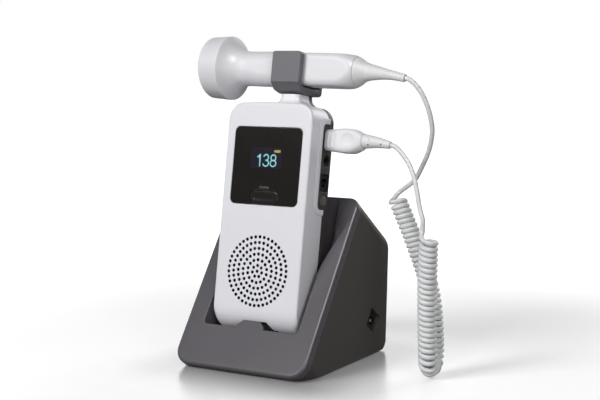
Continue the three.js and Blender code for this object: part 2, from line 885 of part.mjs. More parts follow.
function cradleJackGeometry() {
  const face = sideHalfAt(jackBehindFace) - jackRecessDepth - seam;
  const body = alongWidth(onJackSide(jackWide, jackTall, seam), face - jackLong, face);
  const bore = rodAlongWidth(jackBore, face - jackBoreDepth, face + overrun, jackBehindFace, jackAlongSlope);
  return cut(body, [bore]);
}

function cradleJackPinGeometry() {
  const face = sideHalfAt(jackBehindFace) - jackRecessDepth - seam;
  return rodAlongWidth(jackPin, face - jackBoreDepth + seam, face - seam, jackBehindFace, jackAlongSlope);
}

function cradleBoardGeometry() {
  const outline = roundedBox(cradleBoardWidth, cradleBoardDepth, boardThickness, 0, cradleBoardMiddle());
  const low = standHeight + basePlate + cradleBoardRise;
  return alongHeight(outline, low, low + boardThickness);
}

function contactBlockGeometry() {
  const outline = roundedBox(contactBlockWidth, contactBlockDepth, boardThickness, 0, contactDepth);
  const block = alongHeight(outline, contactBlockTop - contactBlockHeight, contactBlockTop);
  const bores = contactRods(contactShoulder + 2 * seam, contactBoreFloor, contactBlockTop + overrun);
  return cut(block, bores);
}

function contactPinGeometry(side) {
  const profile = [
    [0, 0],
    [0, contactShoulder / 2],
    [contactStroke, contactShoulder / 2],
    [contactStroke, contactPin / 2],
    [contactPinLength - contactStroke / 2, contactPin / 2],
    [contactPinLength, contactPin / 4],
    [contactPinLength, 0],
  ];
  const pin = turned(profile, smallSides).rotateY(-halfPi);
  return pin.translate((side * contactSpacing) / 2, contactDepth, contactTip - contactPinLength);
}

// Handset shells

function footRise(depth, offset) {
  const radius = footCurve - offset;
  const ahead = footCurve - Math.min(depth, footCurve);
  return footCurve - Math.sqrt(Math.max(radius ** 2 - ahead ** 2, 0));
}

function handsetRing(depth, inset, offset) {
  const shrink = inset + offset;
  const half = handsetWidth / 2 - shrink;
  const foot = footRise(depth, offset) + (depth > footCurve ? inset : 0);
  const top = handsetLength - shrink;
  const footRadius = handsetFootCorner - shrink;
  const outline = roundedOutline(half, foot, top, footRadius, handsetTopCorner - shrink, topCrown);
  return outline.map(([x, height]) => new THREE.Vector3(x, depth, height));
}

function frontForm(offset, to) {
  const eased = faceFillet * (1 - Math.SQRT1_2);
  const crease = [[0, faceFillet], [eased, eased], [faceFillet, 0]];
  const edge = offset > 0 ? [[offset, 0]] : crease;
  const shares = offset > 0 ? innerFootShares : footCurveShares;
  const curve = shares.map((share) => [share * footCurve, 0]);
  return loft([...edge, ...curve, [to, 0]].map(([depth, inset]) => handsetRing(depth, inset, offset)));
}

function backForm(offset, from) {
  const radius = rearFillet - offset;
  const rings = [handsetRing(from, 0, offset)];
  for (let i = 0; i <= arcSteps - 1; i += 1) {
    const angle = (halfPi * i) / (arcSteps - 1);
    const depth = handsetDepth - offset - radius + radius * Math.sin(angle);
    rings.push(handsetRing(depth, radius * (1 - Math.cos(angle)), offset));
  }
  return loft(rings);
}

function postForm() {
  const middle = postFront + postDepth / 2;
  return loft(postFlare.map(([rise, half]) => {
    const grow = half - postFlare[postFlare.length - 1][1];
    const outline = roundedBox(2 * half, postDepth + grow, postCorner, holderOffset, middle);
    return outline.map(([x, depth]) => new THREE.Vector3(x, depth, handsetLength + rise));
  }));
}

function slab(from, to) {
  return alongDepth(roundedBox(2 * handsetWidth, 4 * handsetLength, overrun), from, to);
}

function windowOutline(grow) {
  const middle = windowRise + windowHeight / 2;
  return roundedBox(windowWidth + 2 * grow, windowHeight + 2 * grow, windowCorner + grow, 0, middle);
}

function keyOutline(grow) {
  return roundedBox(keyWidth + 2 * grow, keyHeight + 2 * grow, keyCorner + grow, 0, keyRise);
}

function displayOutline(grow) {
  return roundedBox(displayWidth + 2 * grow, displayHeight + 2 * grow, overrun, 0, displayRise);
}

function stripOutline(grow) {
  const deep = stripReach + 2 * grow;
  const middle = stripFront + stripReach / 2;
  return roundedBox(deep, stripLength + 2 * grow, stripCorner + grow, middle, stripRise + stripLength / 2);
}

function grilleHoles() {
  const places = [[0, grilleRise]];
  for (let ring = 1; ring <= grilleRings; ring += 1) {
    const radius = (grilleRadius * ring) / grilleRings;
    const count = holesPerRing * ring;
    for (let i = 0; i < count; i += 1) {
      const angle = (2 * Math.PI * i) / count;
      places.push([radius * Math.sin(angle), grilleRise + radius * Math.cos(angle)]);
    }
  }
  const depth = handsetWall + overrun;
  return mergeGeometries(places.map(([x, height]) => {
    return rodAlongDepth(grilleHole, -overrun, depth, x, height, grilleSides);
  }));
}

function notchOutline(grow) {
  const foot = notchFootWidth / 2 + grow;
  const top = notchTopWidth / 2 + grow;
  return [[-foot, -overrun], [foot, -overrun], [top, notchRise + grow], [-top, notchRise + grow]];
}

function boardPostPlaces() {
  const x = boardWidth / 2 - boardPostInset;
  const foot = boardRise + boardPostInset;
  const top = boardRise + boardLength - boardPostInset;
  return [[-x, foot], [x, foot], [-x, top], [x, top]];
}

function boardPostRods(diameter, from, to) {
  return boardPostPlaces().map(([x, height]) => rodAlongDepth(diameter, from, to, x, height));
}

function frontShellGeometry() {
  const edge = partingDepth - seam / 2;
  const middle = handsetWall / 2;
  const side = handsetWidth / 2;
  const outer = frontForm(0, edge);
  const hollow = cut(outer, [frontForm(handsetWall, partingDepth + overrun)]);
  const frame = alongDepth(windowOutline(windowFrame), middle, windowFrameDepth);
  const backing = common(alongDepth(notchOutline(handsetWall), middle, notchDepth + handsetWall), outer);
  const padDeep = edge - padBlockFront;
  const padOutline = roundedBox(padBlockWidth, padDeep, overrun, 0, padBlockFront + padDeep / 2);
  const padBlock = alongHeight(padOutline, handsetWall / 2, padBlockRise);
  const rim = alongWidth(stripOutline(rimWidth), side - middle, side + rimHeight, rimEdge);
  const posts = boardPostRods(boardPost, middle, boardDepth - seam);
  const whole = fuse([hollow, frame, backing, padBlock, rim, postForm(), ...posts]);
  const keyWell = windowThickness + 2 * seam + keyStroke;
  const tools = [
    alongDepth(windowOutline(seam), -overrun, windowThickness + seam),
    alongDepth(displayOutline(seam), -overrun, windowFrameDepth + overrun),
    alongDepth(keyOutline(slidingGap), -overrun, keyWell),
    rodAlongDepth(keyStem + 2 * seam, 0, windowFrameDepth + overrun, 0, keyRise),
    grilleHoles(),
    alongDepth(notchOutline(0), -overrun, notchDepth),
    alongWidth(stripOutline(seam), side - handsetWall - overrun, side + handsetWidth),
    ...contactRods(padDiameter + 2 * seam, -overrun, padSink + padThickness + seam),
    ...boardPostRods(boardScrewDiameter + seam, boardDepth - boardScrewLength, boardDepth),
    holderPilot(),
    slab(edge, 2 * handsetDepth),
  ];
  return cut(whole, tools);
}

function holderPilot() {
  const from = holderRise + holderFloor - holderScrewLength - 2 * seam;
  return rodAlongHeight(holderScrew + seam, from, holderRise + overrun, holderOffset, holderScrewDepth);
}

function sideOpening(outline) {
  const side = handsetWidth / 2;
  return alongWidth(outline, side - handsetWall - overrun, side + overrun);
}

function doorOutline(grow) {
  const middle = doorRise + doorLength / 2;
  return roundedBox(doorWidth + 2 * grow, doorLength + 2 * grow, doorCorner + grow, 0, middle);
}

function batteryOutline(grow) {
  const middle = batteryRise + batteryLength / 2;
  return roundedBox(batteryWidth + 2 * grow, batteryLength + 2 * grow, batteryCorner + grow, 0, middle);
}

function rearShellOfHandsetGeometry() {
  const edge = partingDepth + seam / 2;
  const side = handsetWidth / 2;
  const seat = doorSeat;
  const hollow = cut(backForm(0, edge), [backForm(handsetWall, partingDepth - overrun)]);
  const post = cut(postForm(), [slab(-handsetDepth, edge)]);
  const frame = alongDepth(doorOutline(doorFrame), seat - doorFrame, handsetDepth - handsetWall / 2);
  const boss = rodAlongDepth(doorBoss, seat - doorBossLength, seat, 0, doorScrewRise);
  const strip = alongWidth(stripOutline(0), side - handsetWall, side - stripSink);
  const whole = fuse([hollow, post, frame, boss, strip]);
  const nose = noseOutline(seam);
  const jackDeep = powerJackDeep + 2 * seam;
  const jack = roundedBox(jackDeep, powerJackTall + 2 * seam, overrun, portDepth, powerJackRise);
  const tools = [
    alongDepth(doorOutline(seam), seat, handsetDepth + overrun),
    alongDepth(batteryOutline(seam), partingDepth, handsetDepth + overrun),
    rodAlongDepth(doorScrew, seat - doorBossLength + overrun, handsetDepth, 0, doorScrewRise),
    sideOpening(nose),
    sideOpening(jack),
    portRod(headphoneDiameter + 2 * seam, headphoneRise),
    portRod(sideButtonDiameter + 2 * seam, sideButtonRise),
  ];
  return cut(whole, tools);
}

function portRod(diameter, height) {
  const side = handsetWidth / 2;
  return rodAlongWidth(diameter, side - handsetWall - overrun, side + overrun, portDepth, height, roundSides);
}

// Handset face

function windowGeometry() {
  const well = keyOutline(slidingGap).map(([x, height]) => {
    return [x, height < keyRise ? windowRise - overrun : height];
  });
  const plate = alongDepth(windowOutline(0), 0, windowThickness);
  return cut(plate, [alongDepth(well, -overrun, windowThickness + overrun)]);
}

function displayGeometry() {
  const from = windowThickness + seam;
  return alongDepth(displayOutline(0), from, from + displayThickness);
}

function powerKeyGeometry() {
  const thickness = windowThickness + seam;
  const cap = alongDepth(keyOutline(0), 0, thickness, keyEdge);
  const stemEnd = boardDepth - keySwitchHeight - keyStroke - seam;
  const stem = rodAlongDepth(keyStem, thickness / 2, stemEnd, 0, keyRise);
  const pill = roundedBox(dimpleWidth, dimpleHeight, dimpleHeight / 2 - keyEdge, 0, keyRise);
  return cut(fuse([cap, stem]), [alongDepth(pill, -overrun, dimpleDepth)]);
}

// Handset ports, each entered from the right side

function noseOutline(grow) {
  return roundedBox(plugNoseDeep + 2 * grow, plugNoseTall + 2 * grow, plugNoseCorner, portDepth, socketRise);
}

function socketGeometry() {
  const outer = handsetWidth / 2 - handsetWall - seam;
  const outline = roundedBox(socketDeep, socketTall, seam, portDepth, socketRise);
  const body = alongWidth(outline, outer - socketLong, outer);
  const bore = alongWidth(noseOutline(seam), plugStart - plugNoseLength - 2 * seam, outer + overrun);
  return cut(body, [bore]);
}

function headphoneJackGeometry() {
  const face = handsetWidth / 2 - stripSink - portSink;
  const inner = handsetWidth / 2 - handsetWall - seam;
  const outline = roundedBox(headphoneBody, headphoneBody, seam, portDepth, headphoneRise);
  const body = alongWidth(outline, face - headphoneLong, inner);
  const barrel = rodAlongWidth(headphoneDiameter, inner - overrun, face, portDepth, headphoneRise, roundSides);
  const bore = rodAlongWidth(headphoneBore, face - headphoneBoreLong, face + overrun, portDepth, headphoneRise);
  return cut(fuse([body, barrel]), [bore]);
}

function powerJackGeometry() {
  const face = handsetWidth / 2 - stripSink - portSink;
  const outline = roundedBox(powerJackDeep, powerJackTall, overrun - seam, portDepth, powerJackRise);
  const body = alongWidth(outline, face - powerJackLong, face);
  const floor = face - powerJackBoreLong;
  const bore = rodAlongWidth(powerJackBore, floor, face + overrun, portDepth, powerJackRise);
  const pin = rodAlongWidth(powerJackPin, floor - overrun, face - seam, portDepth, powerJackRise);
  return fuse([cut(body, [bore]), pin]);
}

function sideButtonGeometry() {
  const outer = handsetWidth / 2 - stripSink + sideButtonProud;
  const shoulder = handsetWidth / 2 - handsetWall - seam - outer + sideButtonLength;
  const profile = [
    [0, 0],
    [0, sideButtonFlange / 2],
    [shoulder, sideButtonFlange / 2],
    [shoulder, sideButtonDiameter / 2],
    [sideButtonLength - sideButtonCrown, sideButtonDiameter / 2],
    [sideButtonLength - sideButtonCrown / 2, sideButtonDiameter / 2 - sideButtonCrown],
    [sideButtonLength, 0],
  ];
  return turned(profile).translate(outer - sideButtonLength, portDepth, sideButtonRise);
}

// Handset internals

function mainBoardGeometry() {
  const outline = roundedBox(boardWidth, boardLength, boardCorner, 0, boardRise + boardLength / 2);
  const board = alongDepth(outline, boardDepth, boardDepth + boardThickness);
  const middle = boardDepth + boardThickness / 2;
  const keyOutlineBelow = roundedBox(keySwitch, keySwitch, seam, 0, keyRise);
  const keyBlock = alongDepth(keyOutlineBelow, boardDepth - keySwitchHeight, middle);
  const buttonInner = handsetWidth / 2 - stripSink + sideButtonProud - sideButtonLength;
  const outer = buttonInner - sideButtonStroke - seam;
  const blockMiddle = middle + sideSwitchDeep / 2;
  const blockOutline = roundedBox(sideSwitchDeep, sideSwitchTall, seam, blockMiddle, sideButtonRise);
  const sideBlock = alongWidth(blockOutline, outer - sideSwitchLong, outer);
  const behind = boardDepth + boardThickness + overrun;
  const holes = boardPostRods(boardScrewDiameter + 2 * seam, boardDepth - overrun, behind);
  return cut(fuse([board, keyBlock, sideBlock]), holes);
}

function boardScrewGeometry([x, height]) {
  const back = boardDepth + boardThickness + seam + screwHeadHeight;
  const length = boardThickness + boardScrewLength;
  const screw = screwGeometry(boardScrewHead, boardScrewDiameter - seam, screwHeadHeight, length);
  return screw.rotateZ(-halfPi).translate(x, back, height);
}

function speakerPart(profile) {
  const scale = speakerDeep / speakerProfile[speakerProfile.length - 1][0];
  const part = turned(profile.map(([depth, radius]) => [depth * scale, radius]), roundSides);
  return part.rotateZ(halfPi).translate(0, handsetWall + seam, grilleRise);
}

function batteryGeometry() {
  return alongDepth(batteryOutline(0), doorSeat - batteryThickness, doorSeat, overrun / 2);
}

function doorGeometry() {
  const plate = alongDepth(doorOutline(0), handsetDepth - doorThickness, handsetDepth);
  const above = handsetDepth + overrun;
  const head = rodAlongDepth(doorScrewHead + 2 * seam, handsetDepth - overrun, above, 0, doorScrewRise);
  const below = handsetDepth - 2 * doorThickness;
  const shank = rodAlongDepth(doorScrew + seam, below, handsetDepth, 0, doorScrewRise);
  return cut(plate, [head, shank]);
}

function doorScrewGeometry() {
  const screw = screwGeometry(doorScrewHead, doorScrew - 2 * seam, doorScrewHeadHeight, doorScrewLength);
  return screw.rotateZ(-halfPi).translate(0, handsetDepth, doorScrewRise);
}

function chargePadGeometry(side) {
  const x = (side * contactSpacing) / 2;
  return rodAlongHeight(padDiameter, padSink, padSink + padThickness, x, contactDepth, roundSides);
}

// Probe holder: a U-section open at the top

function holderGeometry() {
  const top = holderRise + holderHeight;
  const floor = holderRise + holderFloor;
  const front = holderFront + holderWall;
  const rear = holderRear - holderRearWall;
  const outer = holderChamfer.map(([depth, rise]) => [holderFront + depth, holderRise + rise]);
  const corner = (x, y, start) => Array.from({ length: arcSteps + 1 }, (_, i) => {
    const angle = start - (halfPi * i) / arcSteps;
    return [x + holderCorner * Math.cos(angle), y + holderCorner * Math.sin(angle)];
  });
  const outline = [
    [holderFront, top],
    ...outer,
    ...corner(holderRear - holderCorner, holderRise + holderCorner, 0).reverse(),
    [holderRear, top - holderRearDrop],
    [rear, top - holderRearDrop],
    ...corner(rear - holderCorner, floor + holderCorner, 0),
    ...corner(front + holderCorner, floor + holderCorner, -halfPi),
    [front, top],
  ];
  const left = holderOffset - holderWidth / 2;
  const body = alongWidth(outline, left, left + holderWidth, holderEdge);
  const headFrom = floor - 2 * seam - holderScrewHeadHeight;
  const head = rodAlongHeight(holderScrewHead + 2 * seam, headFrom, top, holderOffset, holderScrewDepth);
  const shankHole = holderScrew + 2 * seam;
  const shank = rodAlongHeight(shankHole, holderRise - overrun, top, holderOffset, holderScrewDepth);
  return cut(body, [head, shank]);
}

function holderScrewGeometry() {
  const screw = screwGeometry(holderScrewHead, holderScrew - seam, holderScrewHeadHeight, holderScrewLength);
  return screw.rotateY(halfPi).translate(holderOffset, holderScrewDepth, holderRise + holderFloor - seam);
}

// Probe

// Half depth, half height and corner radius give a rounded section; equal ones give a circle.
function sectionRing([x, halfDeep, halfTall, corner], depth, height, sides) {
  const flatDeep = halfDeep - corner;
  const flatTall = halfTall - corner;
  return Array.from({ length: sides }, (_, i) => {
    const angle = (2 * Math.PI * (i + 0.5)) / sides;
    const across = Math.abs(Math.cos(angle));
    const up = Math.abs(Math.sin(angle));
    const toSide = halfDeep / across;
    const toTop = halfTall / up;
    const along = across * flatDeep + up * flatTall;
    const reach = along + Math.sqrt(Math.max(along ** 2 - flatDeep ** 2 - flatTall ** 2 + corner ** 2, 0));
    let distance = reach;
    if (toSide * up <= flatTall) {
      distance = toSide;
    } else if (toTop * across <= flatDeep) {
      distance = toTop;
    }
    return new THREE.Vector3(x, depth + distance * Math.cos(angle), height + distance * Math.sin(angle));
  });
}

function probeLoft(rings) {
  return loft(rings.map((ring) => sectionRing(ring, probeDepth, probeRise, probeSides)));
}

function thinned([x, halfDeep, halfTall, corner], shift) {
  const inner = Math.max(corner - probeWall, probeWall);
  return [x - shift, halfDeep - probeWall, halfTall - probeWall, inner];
}

function roundRing(x, radius) {
  return [x, radius, radius, radius];
}

function headShellGeometry() {
  const end = [probeSeam - seam / 2, ...handleSection];
  const seat = headFront + faceThickness + seam;
  const hollow = headRings.filter(([x]) => x > seat + 2 * ledgeWidth);
  const inner = [
    roundRing(headFront - overrun, faceSeat),
    roundRing(seat, faceSeat),
    roundRing(seat, faceLedge),
    roundRing(seat + ledgeWidth, faceLedge),
    roundRing(seat + ledgeWidth, faceSeat),
    ...hollow.map((ring) => thinned(ring, domeShift)),
    thinned([probeSeam + overrun, ...handleSection], 0),
  ];
  return cut(probeLoft([...headRings, end]), [probeLoft(inner)]);
}

function handleShellGeometry() {
  const start = probeSeam + seam / 2;
  const outer = probeLoft([[start, ...handleSection], ...handleRings]);
  const inner = probeLoft([
    thinned([start - overrun, ...handleSection], 0),
    ...handleRings.slice(0, -1).map((ring) => thinned(ring, 0)),
  ]);
  const cordHole = rodAlongWidth(cordDiameter + 2 * seam, 0, handleEnd + overrun, probeDepth, probeRise);
  return cut(outer, [inner, cordHole]);
}

function probeDisc(profile) {
  return turned(profile, probeSides).translate(0, probeDepth, probeRise);
}

function acousticFaceGeometry() {
  const back = headFront + faceThickness;
  const radius = faceDiameter / 2;
  return probeDisc([
    [back, 0],
    [back, radius],
    [headFront + faceCrown / 2, radius],
    [headFront - faceCrown / 2, radius - faceCrown],
    [headFront - faceCrown, radius / 2],
    [headFront - faceCrown, 0],
  ]);
}

function discBehindFace(diameter, thickness, from) {
  return probeDisc([[from, 0], [from, diameter / 2], [from + thickness, diameter / 2], [from + thickness, 0]]);
}

function probeBoardGeometry() {
  const wide = 2 * (handleSection[0] - probeWall - seam);
  const outline = roundedBox(probeBoardLength, wide, overrun, probeBoardMiddle, probeDepth);
  return alongHeight(outline, probeRise - boardThickness / 2, probeRise + boardThickness / 2);
}

// A tapered sleeve that leaves along X and droops. Its rings stand square to its own line.
function bootGeometry(radii, droop, start, depth, height) {
  const length = radii[radii.length - 1][0];
  return loft(radii.map(([along, radius]) => {
    const tilt = Math.atan((2 * droop * along) / length ** 2);
    const fall = droop * (along / length) ** 2;
    return Array.from({ length: bootSides }, (_, i) => {
      const angle = (2 * Math.PI * i) / bootSides;
      const up = radius * Math.sin(angle);
      const x = start + along + up * Math.sin(tilt);
      return new THREE.Vector3(x, depth + radius * Math.cos(angle), height - fall + up * Math.cos(tilt));
    });
  }));
}

// The point a gap beyond a sleeve's tip and the direction in which the sleeve ends, in the standing frame.
function bootTip(radii, droop, start, depth, height) {
  const length = radii[radii.length - 1][0];
  const tilt = Math.atan((2 * droop) / length);
  const direction = new THREE.Vector3(Math.cos(tilt), 0, -Math.sin(tilt));
  const point = new THREE.Vector3(start + length, depth, height - droop).addScaledVector(direction, seam);
  return { point: point.applyMatrix4(handsetToWorld), direction: direction.transformDirection(handsetToWorld) };
}

// Plug

function plugHalves(along) {
  const next = Math.max(plugRings.findIndex(([place]) => place >= along), 1);
  const [from, ...first] = plugRings[next - 1];
  const [to, ...second] = plugRings[next];
  const share = (along - from) / (to - from);
  return first.map((value, i) => value + (second[i] - value) * share);
}

function plugBodyGeometry() {
  const ribEdge = plugRibWidth / 4;
  const ribRings = plugRibs.flatMap((along) => [
    [along, 0],
    [along + ribEdge, plugRibProud],
    [along + plugRibWidth - ribEdge, plugRibProud],
    [along + plugRibWidth, 0],
  ]);
  const plain = plugRings.map(([along]) => [along, 0]);
  const places = [...plain, ...ribRings].sort((a, b) => a[0] - b[0]);
  const rings = places.map(([along, proud]) => {
    const [halfDeep, halfTall, corner] = plugHalves(along);
    return [plugStart + along, halfDeep + proud, halfTall + proud, corner + proud];
  });
  const body = loft(rings.map((ring) => sectionRing(ring, portDepth, socketRise, plugSides)));
  const radius = ((plugDimple / 2) ** 2 + plugDimpleDepth ** 2) / (2 * plugDimpleDepth);
  const ball = new THREE.SphereGeometry(radius, 2 * roundSides, roundSides).rotateX(halfPi);
  const front = portDepth - plugHalves(plugDimplePlace)[0];
  const x = plugStart + plugDimplePlace;
  ball.translate(x, front + plugDimpleDepth - radius, socketRise + plugDimpleLift);
  return cut(body, [withoutPoles(ball)]);
}

function plugNoseGeometry() {
  return alongWidth(noseOutline(0), plugStart - seam - plugNoseLength, plugStart - seam);
}

// Cord

function vectorOf([x, y, z]) {
  return new THREE.Vector3(x, y, z);
}

// Centre line of the curls: a left-handed helix about its own curved axis. The turns open where the
// axis bends, so that they keep their distance on its inner side, and ease in at both ends.
function coilLine() {
  const axis = new THREE.CatmullRomCurve3(coilAxis.map(vectorOf), false, 'centripetal');
  axis.arcLengthDivisions = coilSamples;
  const length = axis.getLength();
  const step = length / coilSamples;
  const points = axis.getSpacedPoints(coilSamples);
  const tangents = points.map((_, i) => axis.getTangentAt(i / coilSamples));
  const bends = tangents.map((tangent, i) => tangent.angleTo(tangents[Math.max(i - 1, 0)]) / step);
  const sides = [new THREE.Vector3(-1, 0, 0)];
  for (let i = 1; i <= coilSamples; i += 1) {
    const side = sides[i - 1].clone().addScaledVector(tangents[i], -sides[i - 1].dot(tangents[i]));
    sides.push(side.normalize());
  }
  const rates = bends.map((bend, i) => {
    const toEnd = (coilSamples - i) * step;
    const ease = smoothstep((i * step) / coilRunIn) * smoothstep(toEnd / coilRunIn + coilEndShare);
    return ((2 * Math.PI) / coilPitch) * Math.max(1 - bend * coilMeanRadius, 0) * ease;
  });
  const total = rates.reduce((sum, rate) => sum + rate * step, 0);
  const leave = vectorOf(coilLeaveDirection);
  const lastOut = tangents[coilSamples].clone().cross(sides[coilSamples]);
  const target = Math.atan2(-leave.dot(lastOut), leave.dot(sides[coilSamples]));
  const turns = Math.floor((total - target) / (2 * Math.PI));
  const scale = (turns * 2 * Math.PI + target) / total;
  let phase = 0;
  return points.map((point, i) => {
    phase += i === 0 ? 0 : rates[i] * step * scale;
    const out = tangents[i].clone().cross(sides[i]);
    const wire = point.clone().addScaledVector(sides[i], coilMeanRadius * Math.cos(phase));
    return wire.addScaledVector(out, -coilMeanRadius * Math.sin(phase));
  });
}

function coilPoints() {
  const fine = coilLine();
  const curl = Math.hypot(2 * Math.PI * coilMeanRadius, coilPitch);
  const line = new THREE.CatmullRomCurve3(fine);
  line.arcLengthDivisions = 4 * coilSamples;
  const count = Math.round((line.getLength() / curl) * coilSteps);
  const points = line.getSpacedPoints(count);
  const first = fine[0].clone().sub(fine[1]).normalize();
  const last = fine[fine.length - 1].clone().sub(fine[fine.length - 2]).normalize();
  points.unshift(points[0].clone().addScaledVector(first, cordDiameter));
  points.push(points[points.length - 1].clone().addScaledVector(last, cordDiameter));
  return { points, first, last };
}

// A tube through points that stand closer than the tube would need as a swept outline.
function tubeThrough(points, diameter, sides) {
  const directions = points.map((_, i) => {
    const before = points[Math.max(i - 1, 0)];
    const after = points[Math.min(i + 1, points.length - 1)];
    return after.clone().sub(before).normalize();
  });
  let side = new THREE.Vector3(0, 1, 0);
  return loft(points.map((point, i) => {
    side.addScaledVector(directions[i], -side.dot(directions[i])).normalize();
    const out = directions[i].clone().cross(side);
    return Array.from({ length: sides }, (_, k) => {
      const angle = (2 * Math.PI * k) / sides;
      const ring = point.clone().addScaledVector(side, (diameter / 2) * Math.cos(angle));
      return ring.addScaledVector(out, (diameter / 2) * Math.sin(angle));
    });
  }));
}

// Least gap between turns of the tube, from its centre points and the straight lines between them.
function leastCoilGap(points) {
  let least = Infinity;
  const nearest = new THREE.Vector3();
  for (let i = 0; i < points.length - 1; i += 1) {
    const piece = new THREE.Line3(points[i], points[i + 1]);
    for (let j = 0; j < points.length; j += 1) {
      if (Math.abs(j - i) > coilSteps / 2) {
        piece.closestPointToPoint(points[j], true, nearest);
        least = Math.min(least, nearest.distanceTo(points[j]) - cordDiameter);
      }
    }
  }
  return least;
}

function leadGeometry(start, sag, end) {
  const points = [
    start.point,
    start.point.clone().addScaledVector(start.direction, cordDiameter),
    ...sag.map((offset, i) => {
      return start.point.clone().lerp(end.point, (i + 1) / (sag.length + 1)).add(vectorOf(offset));
    }),
    end.point.clone().addScaledVector(end.direction, seam + cordDiameter),
    end.point.clone().addScaledVector(end.direction, seam),
  ];
  const path = new THREE.CatmullRomCurve3(points, false, 'centripetal');
  const steps = Math.round(path.getLength() / leadStep);
  const circle = new THREE.Shape(roundPoints(cordDiameter / 2, leadSides));
  return new THREE.ExtrudeGeometry(circle, { steps, bevelEnabled: false, extrudePath: path });
}

function roundPoints(radius, sides) {
  return Array.from({ length: sides }, (_, i) => {
    const angle = (2 * Math.PI * i) / sides;
    return new THREE.Vector2(radius * Math.cos(angle), radius * Math.sin(angle));
  });
}

// Assembly

function addCradle() {
  slopedFrame.add(
    piece('cradle_front_cover', coverGeometry(), greyPlastic),
    piece('cradle_rear_shell', rearShellGeometry(), darkPlastic),
    piece('cradle_dc_jack', cradleJackGeometry(), blackPlastic),
    piece('cradle_jack_pin', cradleJackPinGeometry(), steel),
  );
  standingFrame.add(
    piece('cradle_base_plate', basePlateGeometry(), darkPlastic),
    piece('cradle_circuit_board', cradleBoardGeometry(), circuitGreen),
  );
  footPlaces().forEach((place, i) => {
    standingFrame.add(piece(`foot_${i + 1}`, footGeometry(place), rubberFoot));
  });
  bossPlaces().forEach((place, i) => {
    standingFrame.add(piece(`base_screw_${i + 1}`, baseScrewGeometry(place), steel));
  });
  handsetFrame.add(
    piece('contact_block', contactBlockGeometry(), blackPlastic),
    piece('contact_pin_left', contactPinGeometry(-1), gold),
    piece('contact_pin_right', contactPinGeometry(1), gold),
  );
}

function addHandset() {
  handsetFrame.add(
    piece('handset_front_shell', frontShellGeometry(), whitePlastic),
    piece('handset_rear_shell', rearShellOfHandsetGeometry(), darkPlastic),
    piece('display_window', windowGeometry(), windowPlastic),
    piece('display_module', displayGeometry(), displayDark),
    piece('power_key', powerKeyGeometry(), windowPlastic),
    piece('main_circuit_board', mainBoardGeometry(), circuitGreen),
    piece('speaker_basket', speakerPart(speakerProfile), steel),
    piece('speaker_cone', speakerPart(coneProfile), speakerBlack),
    piece('battery_pack', batteryGeometry(), batteryBlue),
    piece('battery_door', doorGeometry(), darkPlastic),
    piece('battery_door_screw', doorScrewGeometry(), steel),
    piece('probe_socket', socketGeometry(), blackPlastic),
    piece('headphone_jack', headphoneJackGeometry(), blackPlastic),
    piece('handset_dc_jack', powerJackGeometry(), blackPlastic),
    piece('side_button', sideButtonGeometry(), darkPlastic),
    piece('charge_pad_left', chargePadGeometry(-1), gold),
    piece('charge_pad_right', chargePadGeometry(1), gold),
    piece('probe_holder', holderGeometry(), greyPlastic),
    piece('holder_screw', holderScrewGeometry(), steel),
  );
  boardPostPlaces().forEach((place, i) => {
    handsetFrame.add(piece(`board_screw_${i + 1}`, boardScrewGeometry(place), steel));
  });
}

const crystalFrom = headFront + faceThickness + seam;
const damperFrom = crystalFrom + crystalThickness + seam;
const probeBoot = [bootRadii, bootDroop, handleEnd + seam, probeDepth, probeRise];
const plugEnd = plugStart + plugRings[plugRings.length - 1][0];
const plugBoot = [plugBootRadii, plugBootDroop, plugEnd + seam, portDepth, socketRise];

function addProbe() {
  handsetFrame.add(
    piece('probe_head_shell', headShellGeometry(), whitePlastic),
    piece('probe_handle_shell', handleShellGeometry(), whitePlastic),
    piece('acoustic_face', acousticFaceGeometry(), bootPlastic),
    piece('crystal_disc', discBehindFace(crystalDiameter, crystalThickness, crystalFrom), crystalGrey),
    piece('damping_block', discBehindFace(damperDiameter, damperThickness, damperFrom), damperBlack),
    piece('probe_circuit_board', probeBoardGeometry(), circuitGreen),
    piece('probe_strain_relief', bootGeometry(...probeBoot), bootPlastic),
  );
}

function addCord() {
  handsetFrame.add(
    piece('plug_body', plugBodyGeometry(), whitePlastic),
    piece('plug_nose', plugNoseGeometry(), blackPlastic),
    piece('plug_strain_relief', bootGeometry(...plugBoot), bootPlastic),
  );
  const { points, first, last } = coilPoints();
  const towardsPlug = { point: points[0], direction: first };
  const towardsProbe = { point: points[points.length - 1], direction: last };
  console.log(`least gap between curls: ${leastCoilGap(points).toFixed(2)} mm`);
  standingFrame.add(
    piece('curly_cord', tubeThrough(points, cordDiameter, coilSides), cordPlastic),
    piece('lead_from_probe', leadGeometry(bootTip(...probeBoot), probeLeadSag, towardsProbe), cordPlastic),
    piece('lead_to_plug', leadGeometry(bootTip(...plugBoot), plugLeadSag, towardsPlug), cordPlastic),
  );
}

// The origin lies under the middle of the box round everything but the cord and its plug.
function centred(group) {
  const leads = ['curly_cord', 'lead_from_probe', 'lead_to_plug'];
  const onCord = new Set([...leads, 'plug_body', 'plug_nose', 'plug_strain_relief']);
  const box = new THREE.Box3();
  group.updateMatrixWorld(true);
  group.traverse((node) => {
    if (node.isMesh && !onCord.has(node.name)) {
      box.expandByObject(node, true);
    }
  });
  group.position.set(-(box.min.x + box.max.x) / 2, -(box.min.y + box.max.y) / 2, -box.min.z);
  return group;
}

addCradle();
addHandset();
addProbe();
addCord();

const doppler = new THREE.Group();
doppler.add(standingFrame, slopedFrame, handsetFrame);

export default centred(doppler);
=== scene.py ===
"""Looks of a hand-held fetal doppler that stands in its charging cradle.

Every length is in millimetres in the frame of the sub-assembly that it belongs to, and becomes metres in the
part's own frame when a mesh is made. A point is (x, depth, height): x runs across, depth runs back from the
face, and height runs up along the sub-assembly's own lean.
"""

